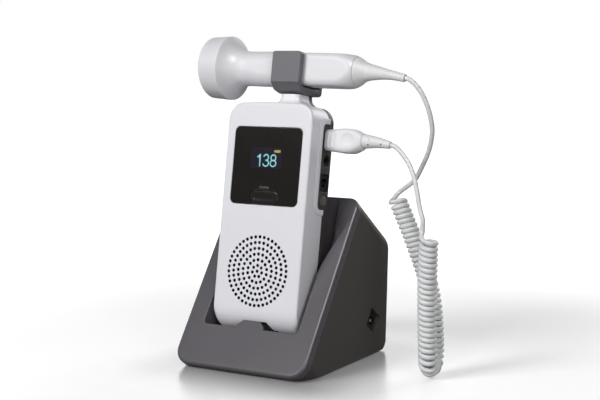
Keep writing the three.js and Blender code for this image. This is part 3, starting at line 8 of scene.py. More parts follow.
import logging
import math
from dataclasses import dataclass
from enum import Enum
from functools import lru_cache, reduce
from typing import Optional, Sequence, Union

import bmesh
import bpy
import numpy as np
from mathutils import Matrix, Vector

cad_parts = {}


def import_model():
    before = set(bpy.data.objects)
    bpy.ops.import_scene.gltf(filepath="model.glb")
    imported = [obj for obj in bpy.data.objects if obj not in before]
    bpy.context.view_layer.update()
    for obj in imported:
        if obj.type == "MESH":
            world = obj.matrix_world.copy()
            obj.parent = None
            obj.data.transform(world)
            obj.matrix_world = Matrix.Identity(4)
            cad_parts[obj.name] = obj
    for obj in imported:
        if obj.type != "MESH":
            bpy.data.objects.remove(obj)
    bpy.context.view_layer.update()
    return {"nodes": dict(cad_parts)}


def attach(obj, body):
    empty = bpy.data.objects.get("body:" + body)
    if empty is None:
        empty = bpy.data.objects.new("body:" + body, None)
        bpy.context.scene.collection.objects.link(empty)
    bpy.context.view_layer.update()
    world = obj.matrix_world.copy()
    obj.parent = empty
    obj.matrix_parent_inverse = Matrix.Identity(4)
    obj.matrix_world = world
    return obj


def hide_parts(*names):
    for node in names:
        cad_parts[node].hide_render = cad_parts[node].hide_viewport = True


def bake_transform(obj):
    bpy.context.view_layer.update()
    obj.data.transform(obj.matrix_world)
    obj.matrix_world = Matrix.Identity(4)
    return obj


log = logging.getLogger("doppler")

Array = np.ndarray
Colour = tuple[int, int, int]
Piece = bpy.types.Object
Point = tuple[float, float, float]
Table = tuple[tuple[float, ...], ...]

# A millimetre, the move of the part's middle to the origin, and the gap and overlap of shells and tools
MM = 0.001
SHIFT_X = -12.8965
SHIFT_Y = -51.2862
SEAM = 0.3
OVERRUN = 1.0
PHOTO_WIDTH = 600
WHITE = (1.0, 1.0, 1.0, 1.0)


# Frames of the sub-assemblies


@dataclass(frozen=True)
class Station:
    """A sub-assembly's own frame: where its origin stands and how many degrees it leans back from upright."""

    origin_y: float
    origin_z: float
    lean: float

    def place(self, points: Array) -> Array:
        """Turns points of this frame into the part's frame.

        Depth and height are turned about the x axis by the lean, and the origin is added.

        Args:
            points: any array whose last axis is x, depth and height in millimetres.

        Returns:
            The same points in metres in the part's frame.
        """
        angle = math.radians(self.lean)
        x, depth, height = np.moveaxis(np.asarray(points, float), -1, 0)
        y = self.origin_y + depth * math.cos(angle) + height * math.sin(angle)
        z = self.origin_z - depth * math.sin(angle) + height * math.cos(angle)
        return np.stack([x + SHIFT_X, y + SHIFT_Y, z], -1) * MM

    def read(self, points: Array) -> Array:
        """Turns points of the part's frame, in metres, back into this frame, in millimetres.

        Args:
            points: rows of (x, y, z) in metres.

        Returns:
            Rows of (x, depth, height).
        """
        angle = math.radians(self.lean)
        x, y, z = np.moveaxis(np.asarray(points, float) / MM, -1, 0)
        y = y - SHIFT_Y - self.origin_y
        z = z - self.origin_z
        depth = y * math.cos(angle) - z * math.sin(angle)
        height = y * math.sin(angle) + z * math.cos(angle)
        return np.stack([x - SHIFT_X, depth, height], -1)


STAND_HEIGHT = 0.5
SLOPE = 55.3
COVER_THICKNESS = 5.3
STANDING = Station(0.0, 0.0, 0.0)
SLOPED = Station(
    -COVER_THICKNESS * math.sin(math.radians(SLOPE)),
    COVER_THICKNESS * math.cos(math.radians(SLOPE)) + STAND_HEIGHT,
    90.0 - SLOPE,
)
UPRIGHT = Station(14.3, 22.2 + STAND_HEIGHT, 9.7)


class Along(Enum):
    """The axis along which an outline is carried, as its place in (x, depth, height)."""

    WIDTH = 0
    DEPTH = 1
    HEIGHT = 2


# Outlines and surfaces


def unit(vectors: Array) -> Array:
    """Vectors at length one."""
    return vectors / np.linalg.norm(vectors, axis=-1, keepdims=True)


def circle(sides: int) -> Array:
    """Points of a circle of radius one."""
    turn = np.linspace(0, 2 * np.pi, sides, endpoint=False)
    return np.stack([np.cos(turn), np.sin(turn)], -1)


def runs(*parts: tuple[float, float, int]) -> Array:
    """Places in runs, each given by its start, its stop and how many places it has."""
    return np.concatenate([np.linspace(*part) for part in parts])


def quarter(radius: float, steps: int) -> list[tuple[float, float]]:
    """A rounded end: places from its tip, r (1 - cos a), with how far the outline is inset there, r (1 - sin a)."""
    turn = np.linspace(0.0, np.pi / 2, steps + 1)
    return [(radius * (1 - math.cos(a)), radius * (1 - math.sin(a))) for a in turn]


def placed(outline: Array, axis: Along, place: float) -> Array:
    """An outline's points at one place on an axis, as (x, depth, height) rows."""
    return np.insert(outline, axis.value, place, 1)


def rounded_outline(
    half: float, foot: float, top: float, foot_corner: float, top_corner: float, crown: float = 0.0, steps: int = 8
) -> Array:
    """A rounded outline: four quarter circles joined by straight sides, with the top edge bent by a parabola.

    Args:
        half: half the width.
        foot: height of the lower edge.
        top: height of the upper edge in the middle.
        foot_corner: radius of the lower corners.
        top_corner: radius of the upper corners.
        crown: how far the top falls from the middle to the sides, as the square of the distance.
        steps: parts of each quarter circle.

    Returns:
        Points as (across, up) rows, in turn anticlockwise.
    """
    turn = np.linspace(0.0, np.pi / 2, steps + 1)

    def corner(x: float, y: float, radius: float, start: float) -> Array:
        """A quarter circle about a corner's middle, from its starting angle."""
        return np.stack([x + radius * np.cos(start + turn), y + radius * np.sin(start + turn)], -1)

    parts = [
        corner(half - foot_corner, foot + foot_corner, foot_corner, -np.pi / 2),
        corner(half - top_corner, top - top_corner, top_corner, 0.0),
    ]
    if crown > 0:
        reach = half - top_corner
        x = np.linspace(reach, -reach, 14)[1:-1]
        parts.append(np.stack([x, np.full_like(x, top)], -1))
    parts.append(corner(top_corner - half, top - top_corner, top_corner, np.pi / 2))
    parts.append(corner(foot_corner - half, foot + foot_corner, foot_corner, np.pi))
    outline = np.concatenate(parts)
    upper = outline[:, 1] > (foot + top) / 2
    outline[upper, 1] -= crown * (outline[upper, 0] / half) ** 2
    return outline


def rounded_box(width: float, height: float, radius: float, x: float = 0.0, y: float = 0.0, steps: int = 6) -> Array:
    """A rounded box's outline about (x, y), as (across, up) rows."""
    outline = rounded_outline(width / 2, -height / 2, height / 2, radius, radius, 0.0, steps)
    return outline + np.array([x, y])


def grown(box: Sequence[float], grow: float) -> Array:
    """The outline of a box given as width, height, corner and middle, grown on every side."""
    width, height, corner, x, y = box
    return rounded_box(width + 2 * grow, height + 2 * grow, corner + grow, x, y, 8)


def inset(outline: Array, distance: float) -> Array:
    """Moves each point of a closed outline inwards, along the mean of its two sides' normals.

    The move is distance over the cosine of half the turn there, so that each side moves by just the distance.

    Args:
        outline: points in turn, anticlockwise, as (across, up) rows.
        distance: how far the sides move inwards.

    Returns:
        The moved outline, with as many points.
    """
    side = np.roll(outline, -1, 0) - outline
    normal = np.stack([-side[:, 1], side[:, 0]], -1)
    normal /= np.maximum(np.linalg.norm(normal, axis=1, keepdims=True), 1e-9)
    before = np.roll(normal, 1, 0)
    share = np.maximum(1 + np.sum(normal * before, 1, keepdims=True), 0.4)
    return outline + distance * (normal + before) / share


def smoothstep(value: Union[float, Array]) -> Array:
    """Rises from 0 to 1 as 3t squared less 2t cubed."""
    t = np.clip(value, 0.0, 1.0)
    return t * t * (3 - 2 * t)


def eased(table: Sequence[Sequence[float]], places: Array) -> Array:
    """Reads a table between its rows with cubic pieces that never overshoot.

    The slope at a row is the harmonic mean of the slopes on its two sides, or none at a turning point.

    Args:
        table: rows whose first value is the place and whose others are read.
        places: where to read, within the table.

    Returns:
        One row for each place, with the table's other values.
    """
    rows = np.asarray(table, float)
    x, values = rows[:, 0], rows[:, 1:]
    gap = np.diff(x)[:, None]
    slope = np.diff(values, axis=0) / gap
    same = slope[:-1] * slope[1:] > 0
    total = np.where(same, slope[:-1] + slope[1:], 1.0)
    inner = np.where(same, 2 * slope[:-1] * slope[1:] / total, 0.0)
    ends = np.concatenate([slope[:1], inner, slope[-1:]])
    at = np.clip(np.searchsorted(x, places, side="right") - 1, 0, len(x) - 2)
    t = ((places - x[at]) / gap[at, 0])[:, None]
    step = gap[at]
    start = (1 + 2 * t) * (1 - t) ** 2 * values[at] + t * (1 - t) ** 2 * step * ends[at]
    return start + t * t * (3 - 2 * t) * values[at + 1] + t * t * (t - 1) * step * ends[at + 1]


@dataclass
class Shape:
    """A surface in a sub-assembly's frame: its points and its faces."""

    points: Array
    faces: list[list[int]]

    def __add__(self, other: "Shape") -> "Shape":
        """Both surfaces as one, not joined to each other.

        Args:
            other: the surface that is added.

        Returns:
            A new surface, the other's faces after this one's.
        """
        shift = len(self.points)
        moved = [[i + shift for i in face] for face in other.faces]
        return Shape(np.concatenate([self.points, other.points]), self.faces + moved)


def joined(shapes: Sequence[Shape]) -> Shape:
    """Several surfaces as one."""
    return reduce(Shape.__add__, shapes)


def lofted(rings: Array, looped: bool = False) -> Shape:
    """A surface through rings: point i of ring r meets points i and i + 1 of ring r + 1 in a four-sided face.

    Args:
        rings: an array of rings by points by (x, depth, height).
        looped: whether the last ring joins the first, as a thin wall's does; otherwise both ends are closed.

    Returns:
        The closed surface.
    """
    count, size = rings.shape[:2]
    ring = np.arange(count if looped else count - 1)[:, None]
    place = np.arange(size)[None]
    following = (ring + 1) % count
    corners = [
        ring * size + place,
        ring * size + (place + 1) % size,
        following * size + (place + 1) % size,
        following * size + place,
    ]
    faces = np.stack(corners, -1).reshape(-1, 4).tolist()
    if not looped:
        last = (count - 1) * size
        faces += [list(range(size)), list(range(last, last + size))]
    return Shape(rings.reshape(-1, 3), faces)


def carried(
    outline: Array, axis: Along, start: float, stop: float, edge: float = 0.0, steps: int = 4, far_edge: bool = True
) -> Shape:
    """An outline carried along one axis, with its ends rounded by a quarter circle.

    At an angle a of that circle the outline is inset by edge times (1 - sin a), edge times (1 - cos a) from the end.

    Args:
        outline: for WIDTH it holds (depth, height), for DEPTH (x, height), and for HEIGHT (x, depth) rows.
        axis: the axis that it is carried along.
        start: where it starts on that axis.
        stop: where it stops.
        edge: radius of the rounded ends.
        steps: parts of that quarter circle.
        far_edge: whether the stop is rounded too.

    Returns:
        The closed surface.
    """
    places = [(start, 0.0), (stop, 0.0)]
    if edge > 0:
        near = [(start + place, shrink) for place, shrink in quarter(edge, steps)]
        far = [(stop - place, shrink) for place, shrink in quarter(edge, steps)[::-1]]
        places = near + (far if far_edge else [(stop, 0.0)])
    rings = [placed(inset(outline, shrink) if shrink > 0 else outline, axis, place) for place, shrink in places]
    return lofted(np.stack(rings))


def rod(axis: Along, diameter: float, start: float, stop: float, a: float, b: float, sides: int = 24) -> Shape:
    """A round rod along an axis: a circle about (a, b), the other two coordinates in their order."""
    return carried(np.array([a, b]) + diameter / 2 * circle(sides), axis, start, stop)


def swept(path: Array, radius: Union[float, Array], sides: int, across: Array) -> Shape:
    """A round tube along a path: at each point a circle square to the path's direction.

    The circle's first axis is the across vector less its part along the path, and its second the cross product.

    Args:
        path: points in the part's frame or a sub-assembly's.
        radius: one radius, or one for each point.
        sides: points of each circle.
        across: one vector, or one for each point, never along the path.

    Returns:
        The closed surface.
    """
    direction = unit(np.gradient(path, axis=0))
    first = unit(across - np.sum(across * direction, 1, keepdims=True) * direction)
    second = np.cross(direction, first)
    turn = circle(sides)[None]
    reach = np.broadcast_to(radius, len(path))[:, None, None]
    return lofted(path[:, None] + reach * (first[:, None] * turn[..., :1] + second[:, None] * turn[..., 1:]))


def ribbon(path: Array, width: float, start: float, stop: float) -> Shape:
    """A flat stroke with round ends, carried from one depth to another.

    Each side of the stroke lies half a width from the path, square to it, and each end is half a circle.

    Args:
        path: the stroke's middle, as (x, height) rows.
        width: the stroke's width.
        start: depth of its face.
        stop: depth of its back.

    Returns:
        The closed surface.
    """
    direction = unit(np.gradient(path, axis=0))
    side = np.stack([direction[:, 1], -direction[:, 0]], -1) * width / 2
    turn = np.linspace(0, np.pi, 7)[1:-1, None]
    end = path[-1] + side[-1] * np.cos(turn) + direction[-1] * width / 2 * np.sin(turn)
    beginning = path[0] - side[0] * np.cos(turn) - direction[0] * width / 2 * np.sin(turn)
    outline = np.concatenate([path + side, end, (path - side)[::-1], beginning])
    return carried(outline, Along.DEPTH, start, stop)


# Meshes


def linked(name: str, data: bpy.types.ID) -> Piece:
    """A new object of some data, at the origin of the scene.

    Args:
        name: the object's name.
        data: its mesh or curve.

    Returns:
        The object, linked to the scene.
    """
    piece = bpy.data.objects.new(name, data)
    bpy.context.scene.collection.objects.link(piece)
    return piece


def triples(elements: bpy.types.bpy_prop_collection, name: str) -> Array:
    """A three-part value of each of a mesh's elements, as rows.

    Args:
        elements: the mesh's vertices or faces.
        name: the value's name.

    Returns:
        One row of three numbers for each element.
    """
    values = np.empty(len(elements) * 3)
    elements.foreach_get(name, values)
    return values.reshape(-1, 3)


def solid(name: str, shape: Shape, station: Optional[Station] = UPRIGHT) -> Piece:
    """Makes a closed mesh object of a surface, with its faces pointing outwards.

    Args:
        name: the object's name.
        shape: the surface.
        station: the frame that it is in, or None where its points are already metres in the part's frame.

    Returns:
        The new object, at the origin.
    """
    points = shape.points if station is None else station.place(shape.points)
    mesh = bpy.data.meshes.new(name)
    mesh.from_pydata(points.tolist(), [], shape.faces)
    work = bmesh.new()
    work.from_mesh(mesh)
    bmesh.ops.remove_doubles(work, verts=work.verts, dist=1e-7)
    bmesh.ops.recalc_face_normals(work, faces=work.faces)
    work.to_mesh(mesh)
    work.free()
    return linked(name, mesh)


def evaluated(piece: Piece) -> bpy.types.Mesh:
    """A new mesh of a piece with its modifiers applied."""
    graph = bpy.context.evaluated_depsgraph_get()
    return bpy.data.meshes.new_from_object(piece.evaluated_get(graph))


class Join(Enum):
    """How a tool changes a body."""

    CUT = "DIFFERENCE"
    FUSE = "UNION"
    COMMON = "INTERSECT"


def combine(body: Piece, how: Join, *tools: Union[Shape, Piece], station: Station = UPRIGHT) -> Piece:
    """Applies tools to a body one after the other, and removes them.

    Args:
        body: the mesh that is changed.
        how: whether the tools are cut away, joined on, or limit it.
        tools: closed meshes or surfaces.
        station: the frame that the surfaces are in.

    Returns:
        The body, with its new mesh.
    """
    for tool in tools:
        if isinstance(tool, Shape):
            tool = solid("tool", tool, station)
        step = body.modifiers.new("join", "BOOLEAN")
        step.operation = how.value
        step.solver = "EXACT"
        step.object = tool
        made = evaluated(body)
        body.modifiers.clear()
        old, body.data = body.data, made
        bpy.data.meshes.remove(old)
        bpy.data.objects.remove(tool)
    return body


def paint(piece: Piece, regions: Sequence[Array]) -> None:
    """Gives the faces of each region the material index that counts from one in the regions' order.

    Args:
        piece: the mesh.
        regions: one array of true or false values for each material after the first.
    """
    index = np.zeros(len(piece.data.polygons), np.int32)
    for number, region in enumerate(regions):
        index[region] = number + 1
    piece.data.polygons.foreach_set("material_index", index)


# Shader maths


class Wire:
    """One socket of a tree's nodes, which can be added, multiplied and compared as a number can."""

    def __init__(self, maker: "Maker", socket: bpy.types.NodeSocket) -> None:
        """Keeps the socket and the maker of its tree."""
        self.maker = maker
        self.socket = socket

    def apply(self, operation: str, *others: "Value") -> "Wire":
        """One Math node on this socket and other values."""
        return self.maker.node("Math", {"operation": operation}, dict(enumerate((self, *others))))

    def __add__(self, other: "Value") -> "Wire":
        """The sum."""
        return self.apply("ADD", other)

    __radd__ = __add__

    def __mul__(self, other: "Value") -> "Wire":
        """The product."""
        return self.apply("MULTIPLY", other)

    __rmul__ = __mul__

    def __sub__(self, other: "Value") -> "Wire":
        """The difference."""
        return self.apply("SUBTRACT", other)

    def __rsub__(self, other: float) -> "Wire":
        """A number less this socket."""
        return self.maker.node("Math", {"operation": "SUBTRACT"}, {0: other, 1: self})

    def above(self, floor: float, width: float) -> "Wire":
        """Rises from 0 to 1 as the socket passes from floor to floor plus width."""
        settings = {"interpolation_type": "SMOOTHSTEP"}
        return self.maker.node("MapRange", settings, {"Value": self, 1: floor, 2: floor + width})


Value = Union[Wire, float]


class Maker:
    """Builds the nodes of one material or world."""

    def __init__(self, owner: Union[bpy.types.Material, bpy.types.World]) -> None:
        """Starts with the owner's tree, emptied.

        Args:
            owner: the material, or the world.
        """
        owner.use_nodes = True
        self.tree = owner.node_tree
        self.tree.nodes.clear()

    def node(
        self,
        kind: str,
        settings: Optional[dict[str, object]] = None,
        values: Optional[dict[Union[str, int], object]] = None,
        output: Union[str, int] = 0,
    ) -> Wire:
        """Adds a node.

        Args:
            kind: the node's type name after "ShaderNode".
            settings: its own options, set first.
            values: numbers, colours or wires for its inputs, by name or number.
            output: the output that is returned, by name or number.

        Returns:
            The wire of that output.
        """
        made = self.tree.nodes.new("ShaderNode" + kind)
        for key, value in (settings or {}).items():
            setattr(made, key, value)
        for key, value in (values or {}).items():
            if isinstance(value, Wire):
                self.tree.links.new(value.socket, made.inputs[key])
            else:
                made.inputs[key].default_value = value
        return Wire(self, made.outputs[output])

    def end(self, kind: str, shader: Wire) -> None:
        """Links a shader to the tree's output node."""
        output = self.tree.nodes.new("ShaderNode" + kind)
        self.tree.links.new(shader.socket, output.inputs["Surface"])

    @property
    def place(self) -> Wire:
        """The point's Object coordinates, in metres."""
        return self.node("TexCoord", output="Object")

    def part(self, axis: str) -> Wire:
        """One of the point's Object coordinates, in metres."""
        return self.node("SeparateXYZ", None, {0: self.place}, axis)

    def noise(self, scale: float, detail: float = 2.0, stretch: Point = (1, 1, 1)) -> Wire:
        """Smooth noise from 0 to 1 with that many waves in a metre, stretched along the axes."""
        where = self.node("Mapping", None, {"Vector": self.place, "Scale": stretch})
        return self.node("TexNoise", None, {"Vector": where, "Scale": scale, "Detail": detail})

    def mix(self, share: Value, first: object, second: object) -> Wire:
        """A colour between two colours."""
        settings = {"data_type": "RGBA", "clamp_factor": True}
        return self.node("Mix", settings, {0: share, 6: first, 7: second}, 2)

    def round_edges(self, radius: float) -> tuple[Wire, Wire]:
        """The normal with edges rounded by a radius in metres, and a mask that is 1 on those edges.

        Args:
            radius: the rounding in metres.

        Returns:
            The rounded normal and the mask.
        """
        soft = self.node("Bevel", {"samples": 6}, {"Radius": radius})
        plain = self.node("NewGeometry", output="Normal")
        dot = self.node("VectorMath", {"operation": "DOT_PRODUCT"}, {0: soft, 1: plain}, "Value")
        return soft, (1 - dot).above(0.004, 0.12)

    def bump(self, height: Wire, distance: float, normal: Optional[Wire] = None) -> Wire:
        """A normal from a height, which is 1 for that distance in metres."""
        values = {"Height": height, "Distance": distance, "Strength": 1.0}
        return self.node("Bump", None, values if normal is None else {**values, "Normal": normal})


def tone(colour: Colour, factor: float = 1.0) -> tuple[float, float, float, float]:
    """Turns a screen colour from 0 to 255 into the light it stands for, times a factor.

    Args:
        colour: red, green and blue.
        factor: how much lighter or darker it becomes.

    Returns:
        Red, green, blue and an alpha of 1.
    """
    share = np.array(colour, float) / 255
    light = np.where(share <= 0.04045, share / 12.92, ((share + 0.055) / 1.055) ** 2.4) * factor
    return (float(light[0]), float(light[1]), float(light[2]), 1.0)


# Finishes


@dataclass(frozen=True)
class Finish:
    """A surface's look: a name, a colour and the inputs that its kind gives to a Principled shader."""

    name: str
    colour: Colour

    def inputs(self, make: Maker) -> dict[str, object]:
        """The Principled shader's inputs.

        Args:
            make: the maker of the material's nodes.

        Returns:
            A value or a link for each input, by the input's name.
        """
        raise NotImplementedError

    def shades(self, make: Maker, share: Value, low: float, high: float) -> Wire:
        """A colour between two strengths of its own."""
        return make.mix(share, tone(self.colour, low), tone(self.colour, high))

    def shader(self, make: Maker) -> Wire:
        """The material's last shader."""
        return make.node("BsdfPrincipled", None, self.inputs(make))

    def material(self) -> bpy.types.Material:
        """The finish as a node material.

        Returns:
            A new material with the finish's name.
        """
        material = bpy.data.materials.new(self.name)
        make = Maker(material)
        make.end("OutputMaterial", self.shader(make))
        return material


@dataclass(frozen=True)
class Moulded(Finish):
    """Moulded plastic: a fine eroded grain, slow mottling, dust in the grain and paler rubbed edges."""

    roughness: float
    grain: float = 1500.0
    relief: float = 0.00002
    mottle: float = 0.05
    wear: float = 0.25
    rubbed: Colour = (150, 150, 152)
    edge: float = 0.0004
    specular: float = 0.5

    def inputs(self, make: Maker) -> dict[str, object]:
        """The Principled shader's inputs.

        Args:
            make: the maker of the material's nodes.

        Returns:
            A value or a link for each input, by the input's name.
        """
        normal, rim = make.round_edges(self.edge)
        grain = make.noise(self.grain, 3.0)
        cloud = make.noise(38.0, 4.0)
        scuff = make.noise(240.0, 5.0, (1.0, 1.0, 0.25)).above(0.6, 0.2)
        base = self.shades(make, cloud, 1 - self.mottle, 1 + self.mottle)
        base = make.mix(grain.above(0.35, 0.5) * 0.35, base, tone(self.colour, 1 - 3 * self.mottle))
        return {
            "Base Color": make.mix(rim * (0.4 + 0.6 * scuff) * self.wear, base, tone(self.rubbed)),
            "Roughness": self.roughness + 0.12 * (grain - 0.5) + 0.1 * (cloud - 0.5) - 0.08 * rim,
            "Normal": make.bump(grain, self.relief, normal),
            "Specular IOR Level": self.specular,
        }


@dataclass(frozen=True)
class Polished(Finish):
    """A polished dark panel: a clear gloss with faint smears and dust specks."""

    roughness: float = 0.12
    coat: float = 0.3
    edge: float = 0.0003
    specular: float = 0.35

    def inputs(self, make: Maker) -> dict[str, object]:
        """The Principled shader's inputs.

        Args:
            make: the maker of the material's nodes.

        Returns:
            A value or a link for each input, by the input's name.
        """
        normal, rim = make.round_edges(self.edge)
        smear = make.noise(55.0, 5.0, (1.0, 1.0, 2.2)).above(0.42, 0.35)
        dust = make.noise(2600.0, 1.0).above(0.72, 0.05)
        base = self.shades(make, smear * 0.25, 1.0, 1.2)
        return {
            "Base Color": make.mix(dust * 0.18 + rim * 0.1, base, tone((120, 118, 120))),
            "Roughness": self.roughness + 0.02 * smear + 0.2 * dust,
            "Specular IOR Level": self.specular,
            "Normal": make.bump(make.noise(20.0, 1.0), 0.00002, normal),
            "Coat Weight": self.coat,
            "Coat Roughness": 0.06,
        }


@dataclass(frozen=True)
class SoftPlastic(Finish):
    """Soft jacket plastic: a satin skin with slow waves, faint handling marks and greyer patches."""

    roughness: float

    def inputs(self, make: Maker) -> dict[str, object]:
        """The Principled shader's inputs.

        Args:
            make: the maker of the material's nodes.

        Returns:
            A value or a link for each input, by the input's name.
        """
        skin = make.noise(900.0, 3.0)
        patch = make.noise(60.0, 5.0)
        base = self.shades(make, patch, 0.96, 1.03)
        return {
            "Base Color": make.mix(patch.above(0.55, 0.3) * 0.16, base, tone((150, 148, 142))),
            "Roughness": self.roughness + 0.14 * (skin - 0.5) + 0.1 * (patch - 0.5),
            "Normal": make.bump(skin + patch, 0.000007),
        }


@dataclass(frozen=True)
class Metal(Finish):
    """Plated metal: fine brush lines, darker and duller clouds, and paler edges."""

    roughness: float = 0.28
    brush: Point = (1.0, 1.0, 8.0)

    def inputs(self, make: Maker) -> dict[str, object]:
        """The Principled shader's inputs.

        Args:
            make: the maker of the material's nodes.

        Returns:
            A value or a link for each input, by the input's name.
        """
        normal, rim = make.round_edges(0.0002)
        lines = make.noise(1800.0, 2.0, self.brush)
        cloud = make.noise(140.0, 4.0)
        base = self.shades(make, cloud.above(0.45, 0.4) * 0.4, 1.0, 0.7)
        return {
            "Base Color": make.mix(rim * 0.5, base, tone(self.colour, 1.2)),
            "Metallic": 1.0,
            "Roughness": self.roughness + 0.2 * (lines - 0.5) + 0.15 * (cloud - 0.5),
            "Normal": make.bump(lines, 0.00001, normal),
        }


@dataclass(frozen=True)
class Rubber(Finish):
    """Dull rubber or filled resin: a coarse grain, pale bloom and dust on its edges."""

    def inputs(self, make: Maker) -> dict[str, object]:
        """The Principled shader's inputs.

        Args:
            make: the maker of the material's nodes.

        Returns:
            A value or a link for each input, by the input's name.
        """
        normal, rim = make.round_edges(0.0004)
        grain = make.noise(2200.0, 3.0)
        bloom = make.noise(160.0, 4.0).above(0.5, 0.3) * 0.3 + rim * 0.35
        return {
            "Base Color": make.mix(bloom, tone(self.colour), tone((96, 96, 98))),
            "Roughness": 0.78 + 0.2 * (grain - 0.5),
            "Normal": make.bump(grain, 0.00006, normal),
        }


@dataclass(frozen=True)
class Glow(Finish):
    """A lit segment or icon of the display, a little uneven along its strokes."""

    strength: float = 0.85

    def inputs(self, make: Maker) -> dict[str, object]:
        """The Principled shader's inputs.

        Args:
            make: the maker of the material's nodes.

        Returns:
            A value or a link for each input, by the input's name.
        """
        cloud = make.noise(700.0, 2.0)
        return {
            "Base Color": tone((16, 18, 20)),
            "Roughness": 0.3 + 0.1 * cloud,
            "Emission Color": self.shades(make, cloud, 0.82, 1.08),
            "Emission Strength": self.strength,
        }


@dataclass(frozen=True)
class Board(Finish):
    """A circuit board: solder mask over raised copper tracks, with tinned pads."""

    def inputs(self, make: Maker) -> dict[str, object]:
        """The Principled shader's inputs.

        Args:
            make: the maker of the material's nodes.

        Returns:
            A value or a link for each input, by the input's name.
        """
        settings = {"offset": 0.37, "squash": 1.6, "squash_frequency": 3}
        sizes = {"Vector": make.place, "Scale": 160.0, "Mortar Size": 0.09, "Mortar Smooth": 0.2}
        track = make.node("TexBrick", settings, sizes, "Fac")
        pad = 1 - make.node("TexVoronoi", None, {"Vector": make.place, "Scale": 260.0}).above(0.12, 0.06)
        weave = make.noise(1500.0, 2.0)
        base = make.mix(track * 0.8, self.shades(make, weave, 0.9, 1.15), tone((66, 122, 76)))
        return {
            "Base Color": make.mix(pad, base, tone((196, 190, 170))),
            "Metallic": pad * 0.8,
            "Roughness": 0.36 + 0.12 * (weave - 0.5) - 0.1 * pad,
            "Normal": make.bump(track + 0.6 * pad + 0.1 * weave, 0.00006),
        }


@dataclass(frozen=True)
class Weave(Finish):
    """Woven cloth: threads over and under each other as two crossed waves, with a little lint."""

    threads: float = 3600.0

    def inputs(self, make: Maker) -> dict[str, object]:
        """The Principled shader's inputs.

        Args:
            make: the maker of the material's nodes.

        Returns:
            A value or a link for each input, by the input's name.
        """
        warp, weft = ((make.part(axis) * self.threads).apply("SINE") for axis in "XZ")
        relief = 0.5 + 0.5 * warp * weft
        lint = make.noise(1200.0, 3.0).above(0.62, 0.1)
        # Colour follows the relief: painted shade between the crossings and painted highlight on them
        base = self.shades(make, relief, 0.6, 1.4)
        return {
            "Base Color": make.mix(lint * 0.12, base, tone((110, 108, 108))),
            "Roughness": 0.9 - 0.1 * relief,
            "Normal": make.bump(relief, 0.00005),
        }


@dataclass(frozen=True)
class Fibre(Finish):
    """Pressed paper or fired ceramic: fibres or specks in a dull body."""

    speck: Colour
    roughness: float = 0.85
    stretch: Point = (1.0, 1.0, 1.0)

    def inputs(self, make: Maker) -> dict[str, object]:
        """The Principled shader's inputs.

        Args:
            make: the maker of the material's nodes.

        Returns:
            A value or a link for each input, by the input's name.
        """
        normal, rim = make.round_edges(0.0003)
        fibres = make.noise(900.0, 6.0, self.stretch)
        base = make.mix(fibres.above(0.5, 0.25) * 0.5, tone(self.colour), tone(self.speck))
        return {
            "Base Color": make.mix(make.noise(90.0, 3.0) * 0.2 + rim * 0.15, base, tone(self.colour, 0.7)),
            "Roughness": self.roughness + 0.1 * (fibres - 0.5),
            "Normal": make.bump(fibres, 0.00005, normal),
        }


@dataclass(frozen=True)
class Wrap(Finish):
    """A cell pack's shrunk film: a glossy skin with folds, and a paler band round its end."""

    band_from: float
    band_to: float

    def inputs(self, make: Maker) -> dict[str, object]:
        """The Principled shader's inputs.

        Args:
            make: the maker of the material's nodes.

        Returns:
            A value or a link for each input, by the input's name.
        """
        normal, rim = make.round_edges(0.0006)
        folds = make.noise(180.0, 4.0, (1.0, 1.0, 0.3))
        height = make.part("Z")
        band = height.above(self.band_from, 0.0006) * (1 - height.above(self.band_to, 0.0006))
        base = make.mix(band * 0.85, self.shades(make, folds, 0.85, 1.15), tone((206, 208, 206)))
        return {
            "Base Color": make.mix(rim * 0.3, base, tone((150, 160, 176))),
            "Roughness": 0.26 + 0.2 * (folds - 0.5),
            "Normal": make.bump(folds, 0.0002, normal),
        }


@dataclass(frozen=True)
class Ridged(Finish):
    """Moulded plastic with a field of grip ridges, for the thumb, across a stretch of its height."""

    ridge_from: float
    ridge_to: float
    pitch: float = 0.0024

    def inputs(self, make: Maker) -> dict[str, object]:
        """The Principled shader's inputs.

        Args:
            make: the maker of the material's nodes.

        Returns:
            A value or a link for each input, by the input's name.
        """
        normal, rim = make.round_edges(0.0005)
        grain = make.noise(1500.0, 3.0)
        height = make.part("Z")
        wide = 1 - (make.part("X") - SHIFT_X * MM).apply("ABSOLUTE").above(0.0095, 0.0008)
        share = height.above(self.ridge_from, 0.0008) * (1 - height.above(self.ridge_to, 0.0008)) * wide
        ridge = share * (0.5 + 0.5 * (height * (2 * math.pi / self.pitch)).apply("SINE"))
        base = self.shades(make, make.noise(40.0, 4.0), 0.94, 1.06)
        return {
            "Base Color": make.mix(ridge * 0.25 + rim * 0.12, base, tone((104, 102, 104))),
            "Roughness": 0.52 + 0.12 * (grain - 0.5),
            "Normal": make.bump(ridge + 0.03 * grain, 0.0006, normal),
        }


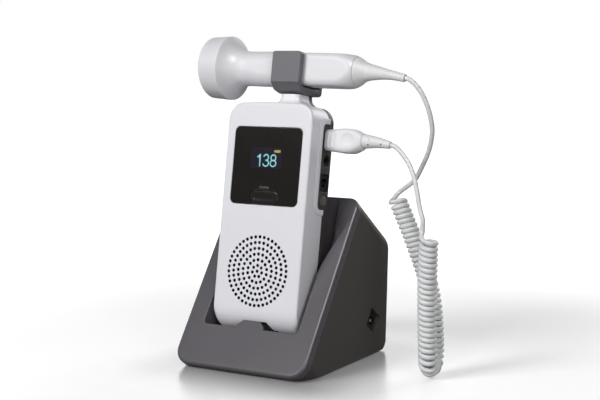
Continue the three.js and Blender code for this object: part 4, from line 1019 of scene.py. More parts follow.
@dataclass(frozen=True)
class Floor(Finish):
    """A white gloss table that keeps the object's shadow and a faint mirror image.

    The camera sees its diffuse light, a glow that is lowest at the cradle's foot as a painted contact shadow and
    grows with the distance from it, and a mirror's share that fades with it. Other rays meet its own colour, a grey,
    so that little light comes back up from it.
    """

    mirror: float = 0.62
    # Glow at the cradle's foot, kept low as a painted contact shadow
    painted_shadow_glow: float = 0.1
    glow_near: float = 0.42
    foot_middle: Point = (-0.0129, 0.0, 0.0)
    foot_half: Point = (0.047, 0.054, 0.01)

    def shader(self, make: Maker) -> Wire:
        """The table as the camera and as other rays see it.

        Args:
            make: the maker of the material's nodes.

        Returns:
            The shader that the material ends in.
        """
        cloud = make.noise(3.0, 2.0)
        far = make.node("VectorMath", {"operation": "LENGTH"}, {0: make.place}, "Value").above(0.16, 0.5)
        gap = make.place
        for operation, values in (
            ("SUBTRACT", {1: self.foot_middle}),
            ("ABSOLUTE", {}),
            ("SUBTRACT", {1: self.foot_half}),
            ("MAXIMUM", {1: (0.0, 0.0, 0.0)}),
        ):
            gap = make.node("VectorMath", {"operation": operation}, {0: gap, **values})
        gap = make.node("VectorMath", {"operation": "LENGTH"}, {0: gap}, "Value")
        # The glow rises from the painted contact shadow at the foot to its near level within 40 mm
        contact, near = ((glow, glow, glow, 1) for glow in (self.painted_shadow_glow, self.glow_near))
        table = {
            "Base Color": make.mix(cloud, tone((232, 232, 233)), tone((238, 238, 239))),
            "Specular IOR Level": 0.0,
            "Emission Color": make.mix(far, make.mix(gap.above(0.0, 0.04), contact, near), WHITE),
            "Emission Strength": 1.0,
        }
        gloss = {"Base Color": WHITE, "Metallic": 1.0, "Roughness": 0.2 + 0.04 * cloud}
        matt, mirror, grey = (
            make.node("BsdfPrincipled", None, values) for values in (table, gloss, {"Base Color": tone(self.colour)})
        )
        both = make.node("MixShader", None, {0: (1 - gap.above(0.0, 0.09)) * self.mirror, 1: matt, 2: mirror})
        return make.node("MixShader", None, {0: make.node("LightPath", output="Is Camera Ray"), 1: grey, 2: both})


@dataclass(frozen=True)
class Backdrop(Finish):
    """A wall that the camera and the table's mirror see, and that lights nothing."""

    def shader(self, make: Maker) -> Wire:
        """The wall's own light for those rays, and none for others.

        Args:
            make: the maker of the material's nodes.

        Returns:
            The shader that the material ends in.
        """
        seen = make.node("LightPath", output="Is Camera Ray")
        shown = seen.apply("MAXIMUM", make.node("LightPath", output="Is Glossy Ray"))
        white = make.node("Emission", None, {"Color": tone(self.colour), "Strength": 1.0})
        black = make.node("Emission", None, {"Color": (0, 0, 0, 1), "Strength": 0.0})
        return make.node("MixShader", None, {0: shown, 1: black, 2: white})


COVER_GREY = Moulded(
    "cover_grey", (86, 83, 88), 0.33, rubbed=(150, 150, 156), wear=0.22, mottle=0.03, specular=0.32, edge=0.0006
)
SHELL_DARK = Moulded("shell_dark", (72, 68, 66), 0.46, rubbed=(110, 107, 106), wear=0.25, mottle=0.05, specular=0.2)
HOLDER_GREY = Moulded(
    "holder_grey", (106, 105, 110), 0.45, rubbed=(160, 160, 164), wear=0.3, mottle=0.03, specular=0.35
)
SHELL_WHITE = Moulded(
    "shell_white", (228, 228, 233), 0.34, grain=2400.0, relief=0.000006, mottle=0.012, wear=0.2, rubbed=(246, 246, 248)
)
PROBE_WHITE = Moulded(
    "probe_white", (226, 225, 229), 0.42, grain=2400.0, relief=0.000005, mottle=0.015, wear=0.15, rubbed=(242, 242, 242)
)
# Painted shade: a dark finish for the white shell's grille hole walls, in place of the shade inside the holes
GRILLE_HOLE_PAINTED_SHADE = Moulded("grille_hole_painted_shade", (30, 28, 30), 0.7, wear=0.0, specular=0.2)
# Painted shade: a dark finish for the white shell's faces inside the notch, in place of the shade there
NOTCH_PAINTED_SHADE = Moulded("notch_painted_shade", (24, 22, 21), 0.6, wear=0.0)
WINDOW_BLACK = Polished("window_black", (28, 24, 23))
KEY_BLACK = Polished("key_black", (32, 28, 27), 0.16, 0.2)
DISPLAY_DARK = Polished("display_dark", (36, 29, 41), 0.12, 0.3, 0.0)
# Black of the jacks, sockets and contact block, also used as painted shade for the plug sleeve's flex holes
JACK_BLACK_AND_VENT_SHADE = Moulded("jack_black", (16, 14, 13), 0.5, wear=0.1, rubbed=(60, 58, 58), specular=0.2)
BUTTON_DARK = Moulded("button_dark", (88, 84, 83), 0.42, wear=0.4, rubbed=(128, 126, 126))
CORD_JACKET = SoftPlastic("cord_jacket", (222, 223, 224), 0.46)
BOOT_SOFT = SoftPlastic("boot_soft", (229, 229, 229), 0.5)
FACE_SOFT = SoftPlastic("acoustic_membrane", (212, 210, 204), 0.4)
PLUG_WHITE = Moulded(
    "plug_white", (230, 230, 233), 0.5, grain=2200.0, relief=0.000006, mottle=0.012, wear=0.15, rubbed=(246, 246, 248)
)
SCREW_STEEL = Metal("screw_steel", (184, 186, 189))
BASKET_STEEL = Metal("basket_steel", (150, 152, 156), 0.38, (6.0, 1.0, 1.0))
CONTACT_GOLD = Metal("contact_gold", (206, 170, 84), 0.24)
CLOTH_BLACK = Weave("grille_cloth", (22, 21, 23))
LABEL_GREY = Moulded("label_grey", (112, 110, 112), 0.4, wear=0.0)


@lru_cache(maxsize=None)
def material_of(finish: Finish) -> bpy.types.Material:
    """One material for each finish, made when it is first asked for."""
    return finish.material()


# CAD nodes that a new piece stands for, noted as the pieces are dressed
REPLACED: set[str] = set()


def dress(
    piece: Piece,
    body: Optional[str],
    finishes: Sequence[Finish],
    stands_for: Sequence[str] = (),
    sharp: float = 32.0,
    level: bool = True,
) -> None:
    """Gives a finished mesh its shading, its materials and the body that it rides on.

    Args:
        piece: the mesh.
        body: the CAD body that it moves with, or None for a piece that bends between two.
        finishes: one finish for each of its material indexes.
        stands_for: CAD nodes that it replaces.
        sharp: the angle, in degrees, past which an edge stays sharp.
        level: whether big flat faces set the normals along their borders.
    """
    mesh = piece.data
    mesh.materials.clear()
    for finish in finishes:
        mesh.materials.append(material_of(finish))
    mesh.shade_smooth()
    mesh.set_sharp_from_angle(angle=math.radians(sharp))
    if level:
        flat = piece.modifiers.new("level", "WEIGHTED_NORMAL")
        flat.keep_sharp = True
    if body:
        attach(piece, body)
    if stands_for:
        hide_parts(*stands_for)
        REPLACED.update(stands_for)
    log.info("%s: %d faces on %s", piece.name, len(mesh.polygons), body)


def flatten(piece: Piece, station: Station) -> None:
    """Shades flat the faces that are square to a frame's depth, so that the round border doesn't tilt their light.

    Args:
        piece: the dressed mesh.
        station: the frame.
    """
    way = unit(station.place(np.array([0.0, 1.0, 0.0])) - station.place(np.zeros(3)))
    square = np.abs(triples(piece.data.polygons, "normal") @ way) > 0.9999
    piece.data.polygons.foreach_set("use_smooth", ~square)


# The cradle


@dataclass
class Cradle:
    """The wedge that the handset stands in: a framed face with a moulded pocket, and a rear body."""

    half: float = 48.0
    slope_length: float = 122.4
    reach: float = 106.4
    wall: float = 2.2
    lower_corner: float = 11.0
    upper_corner: float = 8.0
    fillet: float = 2.0
    foot_radius: float = 6.0
    top_radius: float = 5.5
    draft: float = 6.3
    pocket_half: float = 34.8
    pocket_corner: float = 3.0
    pocket_flare: float = 10.2
    pocket_lean: float = 7.2
    flare_start: float = 38.0
    flare_rise: float = 42.0
    tub_wall: float = 2.0
    handset_depth: float = 28.4
    lip_rise: float = 3.3
    tab_half: float = 9.6
    tab_rise: float = 5.3
    tab_chamfer: float = 3.5
    lip_corner: float = 3.2
    seam_gap: float = 0.45
    tab_thickness: float = 2.2
    contact_depth: float = 16.5
    contact_half: float = 6.0
    contact_hole: float = 3.0
    jack_depth: float = 64.3
    jack_height: float = 67.4
    jack_pad: Point = (19.6, 18.6, 3.0)
    jack_recess: Point = (13.6, 12.6, 0.8)
    jack_opening: Point = (9.6, 11.6, 0.5)
    recess_depth: float = 1.2

    def ring(self, depth: float, shrink: float, draft: float) -> Array:
        """The cradle's rounded outline at a depth behind the sloped face.

        Args:
            depth: how far behind the face.
            shrink: how far it lies inside the full outline.
            draft: how much further the sides draw in.

        Returns:
            The ring's points.
        """
        half, top = self.half - shrink - draft, self.slope_length - shrink
        corners = (self.lower_corner - shrink, self.upper_corner - shrink)
        return placed(rounded_outline(half, shrink, top, *corners, 0.0, 10), Along.DEPTH, depth)

    def face_depth(self, height: Union[float, Array]) -> Array:
        """Depth in the handset's frame at which the sloped face passes a height of the handset.

        Args:
            height: one height, or several.

        Returns:
            The depth at each height.
        """
        zero = np.zeros_like(np.asarray(height, float))
        start = SLOPED.read(UPRIGHT.place(np.stack([zero, zero, height], -1)))[..., 1]
        step = SLOPED.read(UPRIGHT.place(np.stack([zero, zero + 1, height], -1)))[..., 1]
        return -start / (step - start)

    def pocket(self, grow: float) -> Shape:
        """The pocket as a solid, in the handset's frame.

        At each height the outline has a back wall, rounded inner corners and sides that spread towards the
        sloped face. The spread grows with height as a smooth step, and the back leans away in step with it.

        Args:
            grow: how far the solid stands outside the pocket, as the tub's wall does.

        Returns:
            The closed surface.
        """
        ridge = self.slope_length * math.sin(math.radians(SLOPE)) + 3.0 - 22.2
        lean = math.radians(UPRIGHT.lean)
        top = (ridge + (28.0 + self.pocket_lean) * math.sin(lean)) / math.cos(lean)
        heights = np.concatenate([[-SEAM - grow], np.linspace(0.28, 0.9, 22) * top, [top + OVERRUN]])
        rise = (heights - self.flare_start) / self.flare_rise
        back = self.handset_depth + self.pocket_lean * np.maximum(rise, 0) + grow
        half = np.full_like(heights, self.pocket_half + grow)
        face = self.face_depth(heights)
        flare = self.pocket_flare * smoothstep(rise)
        turn = np.linspace(np.pi / 2, 0, 7)
        corner = self.pocket_corner
        columns = [(half - corner + corner * math.cos(a), back - corner + corner * math.sin(a)) for a in turn]
        for share in np.linspace(0, 1, 7)[1:]:
            spread = half + flare * (0.6 * share + 0.4 * share**2)
            columns.append((spread, (back - corner) * (1 - share) + face * share))
        columns.append((half + flare, face - COVER_THICKNESS))
        right = np.stack([np.stack([x, depth, heights], -1) for x, depth in columns], 1)
        left = right[:, ::-1] * np.array([-1.0, 1.0, 1.0])
        return lofted(np.concatenate([right, left], 1))

    def rear_profile(self, shrink: float, floor: float) -> Shape:
        """The rear body's side view, rounded at the back, carried across and open above.

        Args:
            shrink: how far it lies inside the outer wall.
            floor: height of its underside.

        Returns:
            The closed surface.
        """
        slope = math.radians(SLOPE)
        radius = self.foot_radius - shrink
        rear = self.reach - shrink
        ridge_y = SLOPED.origin_y + (self.slope_length - shrink) * math.cos(slope)
        ridge_z = SLOPED.origin_z + (self.slope_length - shrink) * math.sin(slope)
        corner = ridge_z - (rear - ridge_y) / math.tan(slope)
        turn = np.linspace(-np.pi / 2, 0, 9)
        foot = np.stack(
            [rear - radius + radius * np.cos(turn), STAND_HEIGHT + self.foot_radius + radius * np.sin(turn)], -1
        )
        t = np.linspace(0, 1, 10)[:, None]
        start = np.array([rear, corner - self.top_radius])
        end = np.array([rear - self.top_radius * math.sin(slope), corner + self.top_radius * math.cos(slope)])
        bend = (1 - t) ** 2 * start + 2 * t * (1 - t) * np.array([rear, corner]) + t**2 * end
        first = [[-self.reach, floor]]
        if floor < STAND_HEIGHT:
            first.append([rear - radius, floor])
        last = [[end[0], 2 * ridge_z], [-self.reach, 2 * ridge_z]]
        outline = np.concatenate([first, foot, bend, last])
        return carried(outline, Along.WIDTH, -2 * self.half, 2 * self.half)

    def rear_form(self, name: str, shrink: float, start: float, floor: float) -> Piece:
        """The rear body as a solid: the face's outline drawn back with its draft, within the side view.

        Args:
            name: the piece's name.
            shrink: how far it lies inside the outer wall.
            start: depth behind the face at which it begins.
            floor: height of its underside.

        Returns:
            The solid.
        """
        share = np.array([start, self.reach]) / self.reach
        rings = [self.ring(s * self.reach, shrink, self.draft * s) for s in share]
        body = solid(name, lofted(np.stack(rings)), SLOPED)
        return combine(body, Join.COMMON, self.rear_profile(shrink, floor), station=STANDING)

    def plate(self) -> Shape:
        """The sloped face's plate, with its front edge rounded by a quarter circle."""
        places = [*quarter(self.fillet, 6), (COVER_THICKNESS, 0.0)]
        return lofted(np.stack([self.ring(depth, shrink, 0.0) for depth, shrink in places]))

    def lip(self) -> Shape:
        """The low lip before the handset's foot, round where it meets the sides, with a tab without upper corners.

        Returns:
            The closed surface.
        """
        floor = float(SLOPED.read(UPRIGHT.place(np.array([0.0, float(self.face_depth(0.0)), 0.0])))[2])
        lip = floor + self.lip_rise
        side = self.pocket_half + self.tub_wall / 2
        half, top, corner = self.tab_half, lip + self.tab_rise, self.lip_corner
        turn = np.linspace(0, np.pi / 2, 7)
        bend = np.stack([self.pocket_half - corner * (1 - np.cos(turn)), lip + corner * (1 - np.sin(turn))], -1)
        right = [[side, floor - self.tub_wall], [side, lip + corner], *bend.tolist(), [half, lip]]
        right += [[half, top - self.tab_chamfer], [half - self.tab_chamfer, top]]
        outline = np.array(right + [[-x, z] for x, z in right[::-1]])
        return carried(outline, Along.DEPTH, -COVER_THICKNESS - OVERRUN, self.tab_thickness)

    def build_cover(self) -> None:
        """Makes the front cover: plate and tub, with the pocket cut, all but its lip, and the pins' holes."""
        cover = solid("cradle_cover", self.plate(), SLOPED)
        room = self.rear_form("room", self.wall + 2 * SEAM, OVERRUN, -self.reach)
        combine(cover, Join.FUSE, combine(solid("tub", self.pocket(self.tub_wall)), Join.COMMON, room))
        combine(cover, Join.CUT, combine(solid("pocket", self.pocket(0.0)), Join.CUT, self.lip(), station=SLOPED))
        for x in (-self.contact_half, self.contact_half):
            hole = rod(Along.HEIGHT, self.contact_hole, -5.0, OVERRUN, x, self.contact_depth)
            combine(cover, Join.CUT, hole)
        dress(cover, "cradle", [COVER_GREY], ["cradle_front_cover"])
        flatten(cover, SLOPED)

    def build_rear(self) -> None:
        """Makes the rear body: a thin wall with a padded recess and an opening for the power jack."""
        body = self.rear_form("cradle_rear_body", 0.0, COVER_THICKNESS + SEAM + self.seam_gap, STAND_HEIGHT)
        combine(body, Join.CUT, self.rear_form("inner", self.wall, 0.0, -self.reach))
        side = self.half - self.draft * self.jack_depth / self.reach
        sunk = side - self.recess_depth
        pad, recess, opening = (
            carried(rounded_box(*size, self.jack_depth, self.jack_height), Along.WIDTH, start, stop)
            for size, start, stop in (
                (self.jack_pad, side - self.wall - 3.0, sunk),
                (self.jack_recess, sunk, 2 * self.half),
                (self.jack_opening, side - 14.0, 2 * self.half),
            )
        )
        combine(body, Join.FUSE, pad, station=SLOPED)
        combine(body, Join.CUT, recess, opening, station=SLOPED)
        dress(body, "cradle", [SHELL_DARK], ["cradle_rear_shell"])


# The handset


@dataclass
class Handset:
    """The hand-held unit: two shells, window, display, power key and the holder on its post.

    The window, the key and the port strip are boxes: width, height, corner and middle. The thumb hollow is its
    width, height, spread and depth, and the notch its half widths above and below, its rise and its depth.
    """

    width: float = 62.0
    length: float = 143.0
    depth: float = 28.0
    wall: float = 2.0
    parting: float = 20.0
    crease: float = 1.3
    rear_fillet: float = 4.0
    foot_curve: float = 15.0
    top_corner: float = 9.5
    foot_corner: float = 4.5
    crown: float = 1.2
    window: Sequence[float] = (49.6, 48.2, 3.4, 0.0, 103.3)
    window_thickness: float = 1.2
    key: Sequence[float] = (20.4, 8.2, 3.0, 0.0, 83.8)
    key_gap: float = 0.35
    stem_height: float = 84.0
    thumb: Sequence[float] = (14.4, 1.9, 0.5, 0.5)
    display_height: float = 108.2
    grille_rise: float = 38.3
    grille_radius: float = 21.2
    grille_rings: int = 6
    grille_hole: float = 2.1
    notch: Sequence[float] = (8.5, 15.2, 7.5, 7.0)
    strip: Sequence[float] = (11.0, 52.4, 3.0, 18.1, 105.5)
    rim_width: float = 3.6
    rim_height: float = 0.9
    port_depth: float = 20.2
    door_screw: float = 67.8
    key_floor: float = 79.55
    post: Table = ((-1.5, 11.4), (0.0, 10.8), (0.4, 9.8), (0.9, 9.1), (1.6, 8.3), (2.6, 7.7), (4.0, 7.25), (6.2, 7.0))
    post_x: float = 7.5

    def ring(self, depth: float, shrink: float, inside: float) -> Array:
        """The handset's outline at a depth: its lower edge rises on a circle where the foot curves forward.

        Args:
            depth: how far behind the face.
            shrink: how far a rounded edge draws it in.
            inside: how far it lies inside the outer wall.

        Returns:
            The ring's points.
        """
        radius = self.foot_curve - inside
        ahead = self.foot_curve - min(depth, self.foot_curve)
        foot = self.foot_curve - math.sqrt(max(radius**2 - ahead**2, 0.0))
        foot += shrink if depth > self.foot_curve else 0.0
        gone = shrink + inside
        half, top = self.width / 2 - gone, self.length - gone
        corners = (self.foot_corner - gone, self.top_corner - gone)
        return placed(rounded_outline(half, foot, top, *corners, self.crown, 10), Along.DEPTH, depth)

    def front_form(self, inside: float, stop: float) -> Shape:
        """The front half as a solid: a small rounded crease, then the foot's long curve, then straight back.

        Args:
            inside: how far it lies inside the outer wall.
            stop: depth at which it ends.

        Returns:
            The closed surface.
        """
        if inside > 0:
            places = [(depth, 0.0) for depth in np.linspace(inside, self.foot_curve, 9)]
        else:
            places = quarter(self.crease, 6)
            places += [(depth, 0.0) for depth in np.linspace(self.crease, self.foot_curve, 15)[1:]]
        places.append((stop, 0.0))
        return lofted(np.stack([self.ring(depth, shrink, inside) for depth, shrink in places]))

    def back_form(self, inside: float, start: float) -> Shape:
        """The rear half as a solid, its back edge rounded by a quarter circle.

        Args:
            inside: how far it lies inside the outer wall.
            start: depth at which it begins.

        Returns:
            The closed surface.
        """
        radius = self.rear_fillet - inside
        turn = np.linspace(0, np.pi / 2, 9)
        back = self.depth - inside - radius
        places = [(start, 0.0)] + [(back + radius * math.sin(a), radius * (1 - math.cos(a))) for a in turn]
        return lofted(np.stack([self.ring(depth, shrink, inside) for depth, shrink in places]))

    def post_form(self) -> Shape:
        """The post as rounded boxes whose half width narrows with height like a flared foot.

        Returns:
            The closed surface.
        """
        rings = []
        for rise, half in self.post:
            box = rounded_box(2 * half, 18.0 + (half - self.post[-1][1]), 3.5, self.post_x, 17.0, 8)
            rings.append(placed(box, Along.HEIGHT, self.length + rise))
        return lofted(np.stack(rings))

    def notch_outline(self, grow: float) -> Array:
        """The notch at the foot, wider below than above.

        Args:
            grow: how far it stands outside the notch.

        Returns:
            Points as (across, up) rows.
        """
        top, foot, rise, _ = self.notch
        outline = [[-foot - grow, -OVERRUN], [foot + grow, -OVERRUN], [top + grow, rise + grow]]
        return np.array(outline + [[-top - grow, rise + grow]])

    def grille(self) -> Shape:
        """Holes on rings: ring k has seven times k holes at k sixths of the grille's radius.

        Returns:
            A rod for each hole, as one surface.
        """
        holes = [(0.0, self.grille_rise)]
        for ring in range(1, self.grille_rings + 1):
            radius = self.grille_radius * ring / self.grille_rings
            for angle in 2 * np.pi * np.arange(7 * ring) / (7 * ring):
                holes.append((radius * np.sin(angle), self.grille_rise + radius * np.cos(angle)))
        return joined([rod(Along.DEPTH, self.grille_hole, -OVERRUN, self.wall + OVERRUN, *at, 12) for at in holes])

    def build_front(self) -> None:
        """Makes the white front shell with its window seat, grille, notch, port rim and half of the post."""
        side, edge = self.width / 2, self.parting - SEAM / 2
        form = self.front_form(0.0, edge)
        shell = solid("handset_front", form)
        backing = solid("backing", carried(self.notch_outline(self.wall), Along.DEPTH, 1.0, 9.0))
        rim = grown(self.strip, self.rim_width)
        added = {
            "window seat": carried(grown(self.window, 2.0), Along.DEPTH, self.wall / 2, 4.1),
            "notch backing": combine(backing, Join.COMMON, form),
            "pad block": carried(rounded_box(21.0, 7.85, 1.0, 0.0, 15.925), Along.HEIGHT, self.wall / 2, 3.4),
            "port rim": carried(rim, Along.WIDTH, side - 1.0, side + self.rim_height, 0.6, 5),
            "post": self.post_form(),
        }
        cuts = {
            "window": carried(grown(self.window, 0.25), Along.DEPTH, -1, 1.5),
            "display": carried(rounded_box(25.6, 15.6, 1.0, 0.0, self.display_height), Along.DEPTH, -1, 5.1),
            "key": carried(grown(self.key, self.key_gap), Along.DEPTH, -1, 2.6),
            "key stem": rod(Along.DEPTH, 4.6, 0.0, 5.1, 0.0, self.stem_height),
            "grille": self.grille(),
            "notch": carried(self.notch_outline(0.0), Along.DEPTH, -1, self.notch[3]),
            "port strip": carried(grown(self.strip, SEAM), Along.WIDTH, side - self.wall - 1, 3 * side),
            "left pad": rod(Along.HEIGHT, 5.6, -1.0, 1.4, -6.0, 16.5),
            "right pad": rod(Along.HEIGHT, 5.6, -1.0, 1.4, 6.0, 16.5),
            "rear half": carried(rounded_box(200, 800, 1.0), Along.DEPTH, edge, 60.0),
        }
        combine(shell, Join.CUT, self.front_form(self.wall, self.parting + OVERRUN))
        combine(shell, Join.FUSE, *added.values())
        combine(shell, Join.CUT, *cuts.values())
        x, depth, height = UPRIGHT.read(triples(shell.data.polygons, "center")).T
        reach = np.hypot(x, height - self.grille_rise)
        # Faces of the grille holes' walls, which get the painted shade
        holes = (reach < self.grille_radius + self.grille_hole) & (depth > 0.02) & (depth < self.wall - 0.02)
        top, foot, rise, deep = self.notch
        slant = foot + (top - foot) * height / rise
        # The notch's inside faces, which get the painted shade
        notch_shade_faces = (np.abs(x) < slant + 0.05) & (height < rise + 0.05) & (depth < deep + 0.05)
        dress(shell, "handset", [SHELL_WHITE, GRILLE_HOLE_PAINTED_SHADE, NOTCH_PAINTED_SHADE], ["handset_front_shell"])
        paint(shell, [holes, notch_shade_faces])

    def build_cloth(self) -> None:
        """Makes the dark cloth behind the grille: a thin disc with a rounded rim."""
        rim = np.array([0.0, self.grille_rise]) + (self.grille_radius + 1.6) * circle(72)
        cloth = solid("grille_cloth", carried(rim, Along.DEPTH, self.wall + 0.02, self.wall + 0.24, 0.08, 3))
        dress(cloth, "handset", [CLOTH_BLACK])

    def build_rear(self) -> None:
        """Makes the dark rear shell with the port strip, the door's frame and the rear of the post."""
        side, edge = self.width / 2, self.parting + SEAM / 2
        seat, behind = self.depth - 1.9, self.depth + 1
        start, stop = side - self.wall - 1, side + 1
        shell = solid("handset_rear", self.back_form(0.0, edge))
        front = carried(rounded_box(200, 800, 1.0), Along.DEPTH, -60.0, edge)
        added = {
            "post": combine(solid("post", self.post_form()), Join.CUT, front),
            "door frame": carried(rounded_box(50, 66, 6, 0, 40), Along.DEPTH, seat - 2, self.depth - 1),
            "port strip": carried(grown(self.strip, 0.0), Along.WIDTH, side - self.wall, side - 0.4, 0.25, 3),
            "screw boss": rod(Along.DEPTH, 6.0, seat - 5, seat, 0.0, self.door_screw),
        }
        cuts = {
            "door": carried(rounded_box(46.6, 62.6, 4.3, 0, 40), Along.DEPTH, seat, behind),
            "cell": carried(rounded_box(40.6, 52.6, 1.8, 0, 38), Along.DEPTH, self.parting, behind),
            "screw bore": rod(Along.DEPTH, 2.6, seat - 4, self.depth, 0.0, self.door_screw),
            "probe socket": carried(rounded_box(6.6, 9.6, 1.5, self.port_depth, 122.2), Along.WIDTH, start, stop),
            "power jack": carried(rounded_box(9.6, 11.1, 0.6, self.port_depth, 95.7), Along.WIDTH, start, stop),
            "headphones": rod(Along.WIDTH, 7.0, start, stop, self.port_depth, 109.5, 32),
            "side button": rod(Along.WIDTH, 7.2, start, stop, self.port_depth, 84.4, 32),
        }
        combine(shell, Join.CUT, self.back_form(self.wall, self.parting - 1))
        combine(shell, Join.FUSE, *added.values())
        combine(shell, Join.CUT, *cuts.values())
        dress(shell, "handset", [SHELL_DARK], ["handset_rear_shell"])

    def build_window(self) -> None:
        """Makes the window plate, rounded at its front edge and cut out for the key."""
        plate = carried(grown(self.window, 0.0), Along.DEPTH, 0.0, self.window_thickness, 0.3, 4, False)
        window = solid("window_plate", plate)
        outline = grown(self.key, self.key_gap)
        outline[:, 1] = np.maximum(outline[:, 1], self.key_floor)
        combine(window, Join.CUT, carried(outline, Along.DEPTH, -1, 3))
        dress(window, "handset", [WINDOW_BLACK], ["display_window"])

    def build_key(self) -> None:
        """Makes the power key: a rounded cap with a long thumb hollow, on its stem."""
        cap = solid("power_key_cap", carried(grown(self.key, 0.0), Along.DEPTH, 0.0, 1.5, 0.45, 5, False))
        combine(cap, Join.FUSE, rod(Along.DEPTH, 4.0, 0.75, 9.0, 0.0, self.stem_height))
        wide, tall, spread, deep = self.thumb
        rings = []
        for share in np.linspace(0.0, 1.0, 9):
            grow = spread * share
            pill = rounded_box(wide + 2 * grow, tall + 2 * grow, tall / 2.1 + grow, 0.0, self.key[4] - 0.3, 10)
            rings.append(placed(pill, Along.DEPTH, deep * (1 - share**2)))
        rings.append(rings[-1] - np.array([0.0, 0.4, 0.0]))
        combine(cap, Join.CUT, lofted(np.stack(rings)))
        dress(cap, "power_key", [KEY_BLACK], ["power_key"], 50.0)

    def build_display(self) -> None:
        """Makes the display's pane with its number, its battery sign and the key's small label."""
        pane = solid("display_pane", carried(rounded_box(23.0, 12.9, 0.4, -0.5, 108.35), Along.DEPTH, -0.02, 0.3))
        dress(pane, "handset", [DISPLAY_DARK])
        digits = solid("display_digits", self.digits())
        dress(digits, "handset", [Glow("digit_light", (140, 226, 232))], level=False)
        cell, nub = (
            carried(rounded_box(*size, x, 112.6), Along.DEPTH, -0.05, 0.1)
            for size, x in (((4.2, 1.6, 0.25), 7.7), ((0.5, 0.8, 0.1), 5.4))
        )
        sign = solid("battery_sign", cell + nub)
        dress(sign, "handset", [Glow("battery_light", (196, 172, 66), 0.75)], level=False)
        label = self.label("POWER", 1.75, 6.8, 0.0, 89.9)
        dress(label, "handset", [LABEL_GREY], level=False)

    def digits(self) -> Shape:
        """Draws the number 138 in even strokes: each digit is a path of arcs, carried as a flat ribbon.

        Returns:
            The strokes as one surface.
        """
        foot, tall = 103.2, 7.2
        upper, lower = foot + 5.35, foot + 1.9
        turn = np.linspace(0, 1, 25)
        one = np.array([[-6.7, foot + 5.5], [-5.0, foot + tall - 0.2], [-4.8, foot + tall], [-4.8, foot]])
        paths = [np.concatenate([np.linspace(a, b, 8, endpoint=False) for a, b in zip(one, one[1:])] + [one[-1:]])]
        for x, y, wide, high, start, stop in (
            (-0.4, upper, 1.75, 1.85, 160, -90),
            (-0.4, lower, 2.05, 1.9, 90, -160),
            (5.0, upper, 1.75, 1.8, 0, 360),
            (5.0, lower, 2.1, 1.9, 0, 360),
        ):
            angle = np.radians(start + (stop - start) * turn)
            paths.append(np.stack([x + wide * np.cos(angle), y + high * np.sin(angle)], -1))
        return joined([ribbon(path, 0.78, -0.06, 0.1) for path in paths])

    def label(self, words: str, tall: float, wide: float, x: float, height: float) -> Piece:
        """Sets a short plain label into the window, scaled to its real height and width.

        Args:
            words: what it says.
            tall: its height.
            wide: its width.
            x: its middle across.
            height: its middle's height.

        Returns:
            The label's mesh as a piece.
        """
        curve = bpy.data.curves.new("label", "FONT")
        curve.body = words
        curve.extrude = 0.02
        text = linked("label", curve)
        mesh = evaluated(text)
        bpy.data.objects.remove(text)
        points = triples(mesh.vertices, "co")
        low, size = points.min(0), np.ptp(points, 0)
        across, up, front = ((points - low) / size).T
        rows = np.stack([x + wide * (across - 0.5), -0.03 + 0.06 * (1 - front), height + tall * (up - 0.5)], -1)
        mesh.vertices.foreach_set("co", UPRIGHT.place(rows).ravel())
        mesh.materials.clear()
        return linked("power_label", mesh)

    def build_holder(self) -> None:
        """Makes the probe's holder: a U-shaped section with a stepped lower front, carried across."""
        front, rear, floor, rise, top = 1.0, 29.5, 153.9, 149.5, 175.0
        inner_front, inner_rear, radius, wide = front + 4.2, rear - 3.2, 3, 21
        turn = np.linspace(0, np.pi / 2, 9)

        def corner(x: float, y: float, start: float, way: float) -> list[list[float]]:
            """A quarter circle about a point, from its starting angle and in its way round."""
            return [[x + radius * math.cos(start + way * a), y + radius * math.sin(start + way * a)] for a in turn]

        outline = [[front, top], [front, rise + 6.5], [front + 4, rise + 1.9], [front + 11, rise]]
        outline += corner(rear - radius, rise + radius, -math.pi / 2, 1)
        outline += [[rear, top - radius], [inner_rear, top - radius]]
        outline += corner(inner_rear - radius, floor + radius, 0.0, -1)
        outline += corner(inner_front + radius, floor + radius, -math.pi / 2, -1)
        outline.append([inner_front, top])
        left = self.post_x - wide / 2
        holder = solid("probe_holder_clip", carried(np.array(outline), Along.WIDTH, left, left + wide, 0.9, 5))
        front_view = rounded_box(wide, top - rise, 2.2, self.post_x, (top + rise) / 2, 8)
        combine(holder, Join.COMMON, carried(front_view, Along.DEPTH, front - 1, rear + 1))
        head = rod(Along.HEIGHT, 6.6, floor - 2.6, top, self.post_x, 14.0, 32)
        shank = rod(Along.HEIGHT, 3.6, rise - 1, top, self.post_x, 14.0, 24)
        combine(holder, Join.CUT, head, shank)
        dress(holder, "handset", [HOLDER_GREY], ["probe_holder"], 28.0)


# Rounded sections that the probe and the plug share


def section(halves: Array, depth: float, height: Union[float, Array], sides: int) -> Array:
    """Rounded sections along x: each is a box with round corners, or a circle where its three sizes agree.

    A ray at each angle from the middle meets the side, the top or the corner's circle, whichever it crosses.

    Args:
        halves: rows of x, half depth, half height and corner radius.
        depth: depth of the middle.
        height: height of the middle, or one height for each section.
        sides: points of each section.

    Returns:
        An array of sections by points by (x, depth, height).
    """
    x, deep, tall, corner = (halves[:, i : i + 1] for i in range(4))
    angle = (2 * np.pi * (np.arange(sides) + 0.5) / sides)[None]
    across, up = np.abs(np.cos(angle)), np.abs(np.sin(angle))
    flat_deep, flat_tall = deep - corner, tall - corner
    along = across * flat_deep + up * flat_tall
    inside = np.maximum(along**2 - flat_deep**2 - flat_tall**2 + corner**2, 0.0)
    reach = along + np.sqrt(inside)
    to_side, to_top = deep / across, tall / up
    reach = np.where(to_top * across <= flat_deep, to_top, reach)
    reach = np.where(to_side * up <= flat_tall, to_side, reach)
    x = np.broadcast_to(x, reach.shape)
    return np.stack([x, depth + reach * np.cos(angle), height + reach * np.sin(angle)], -1)


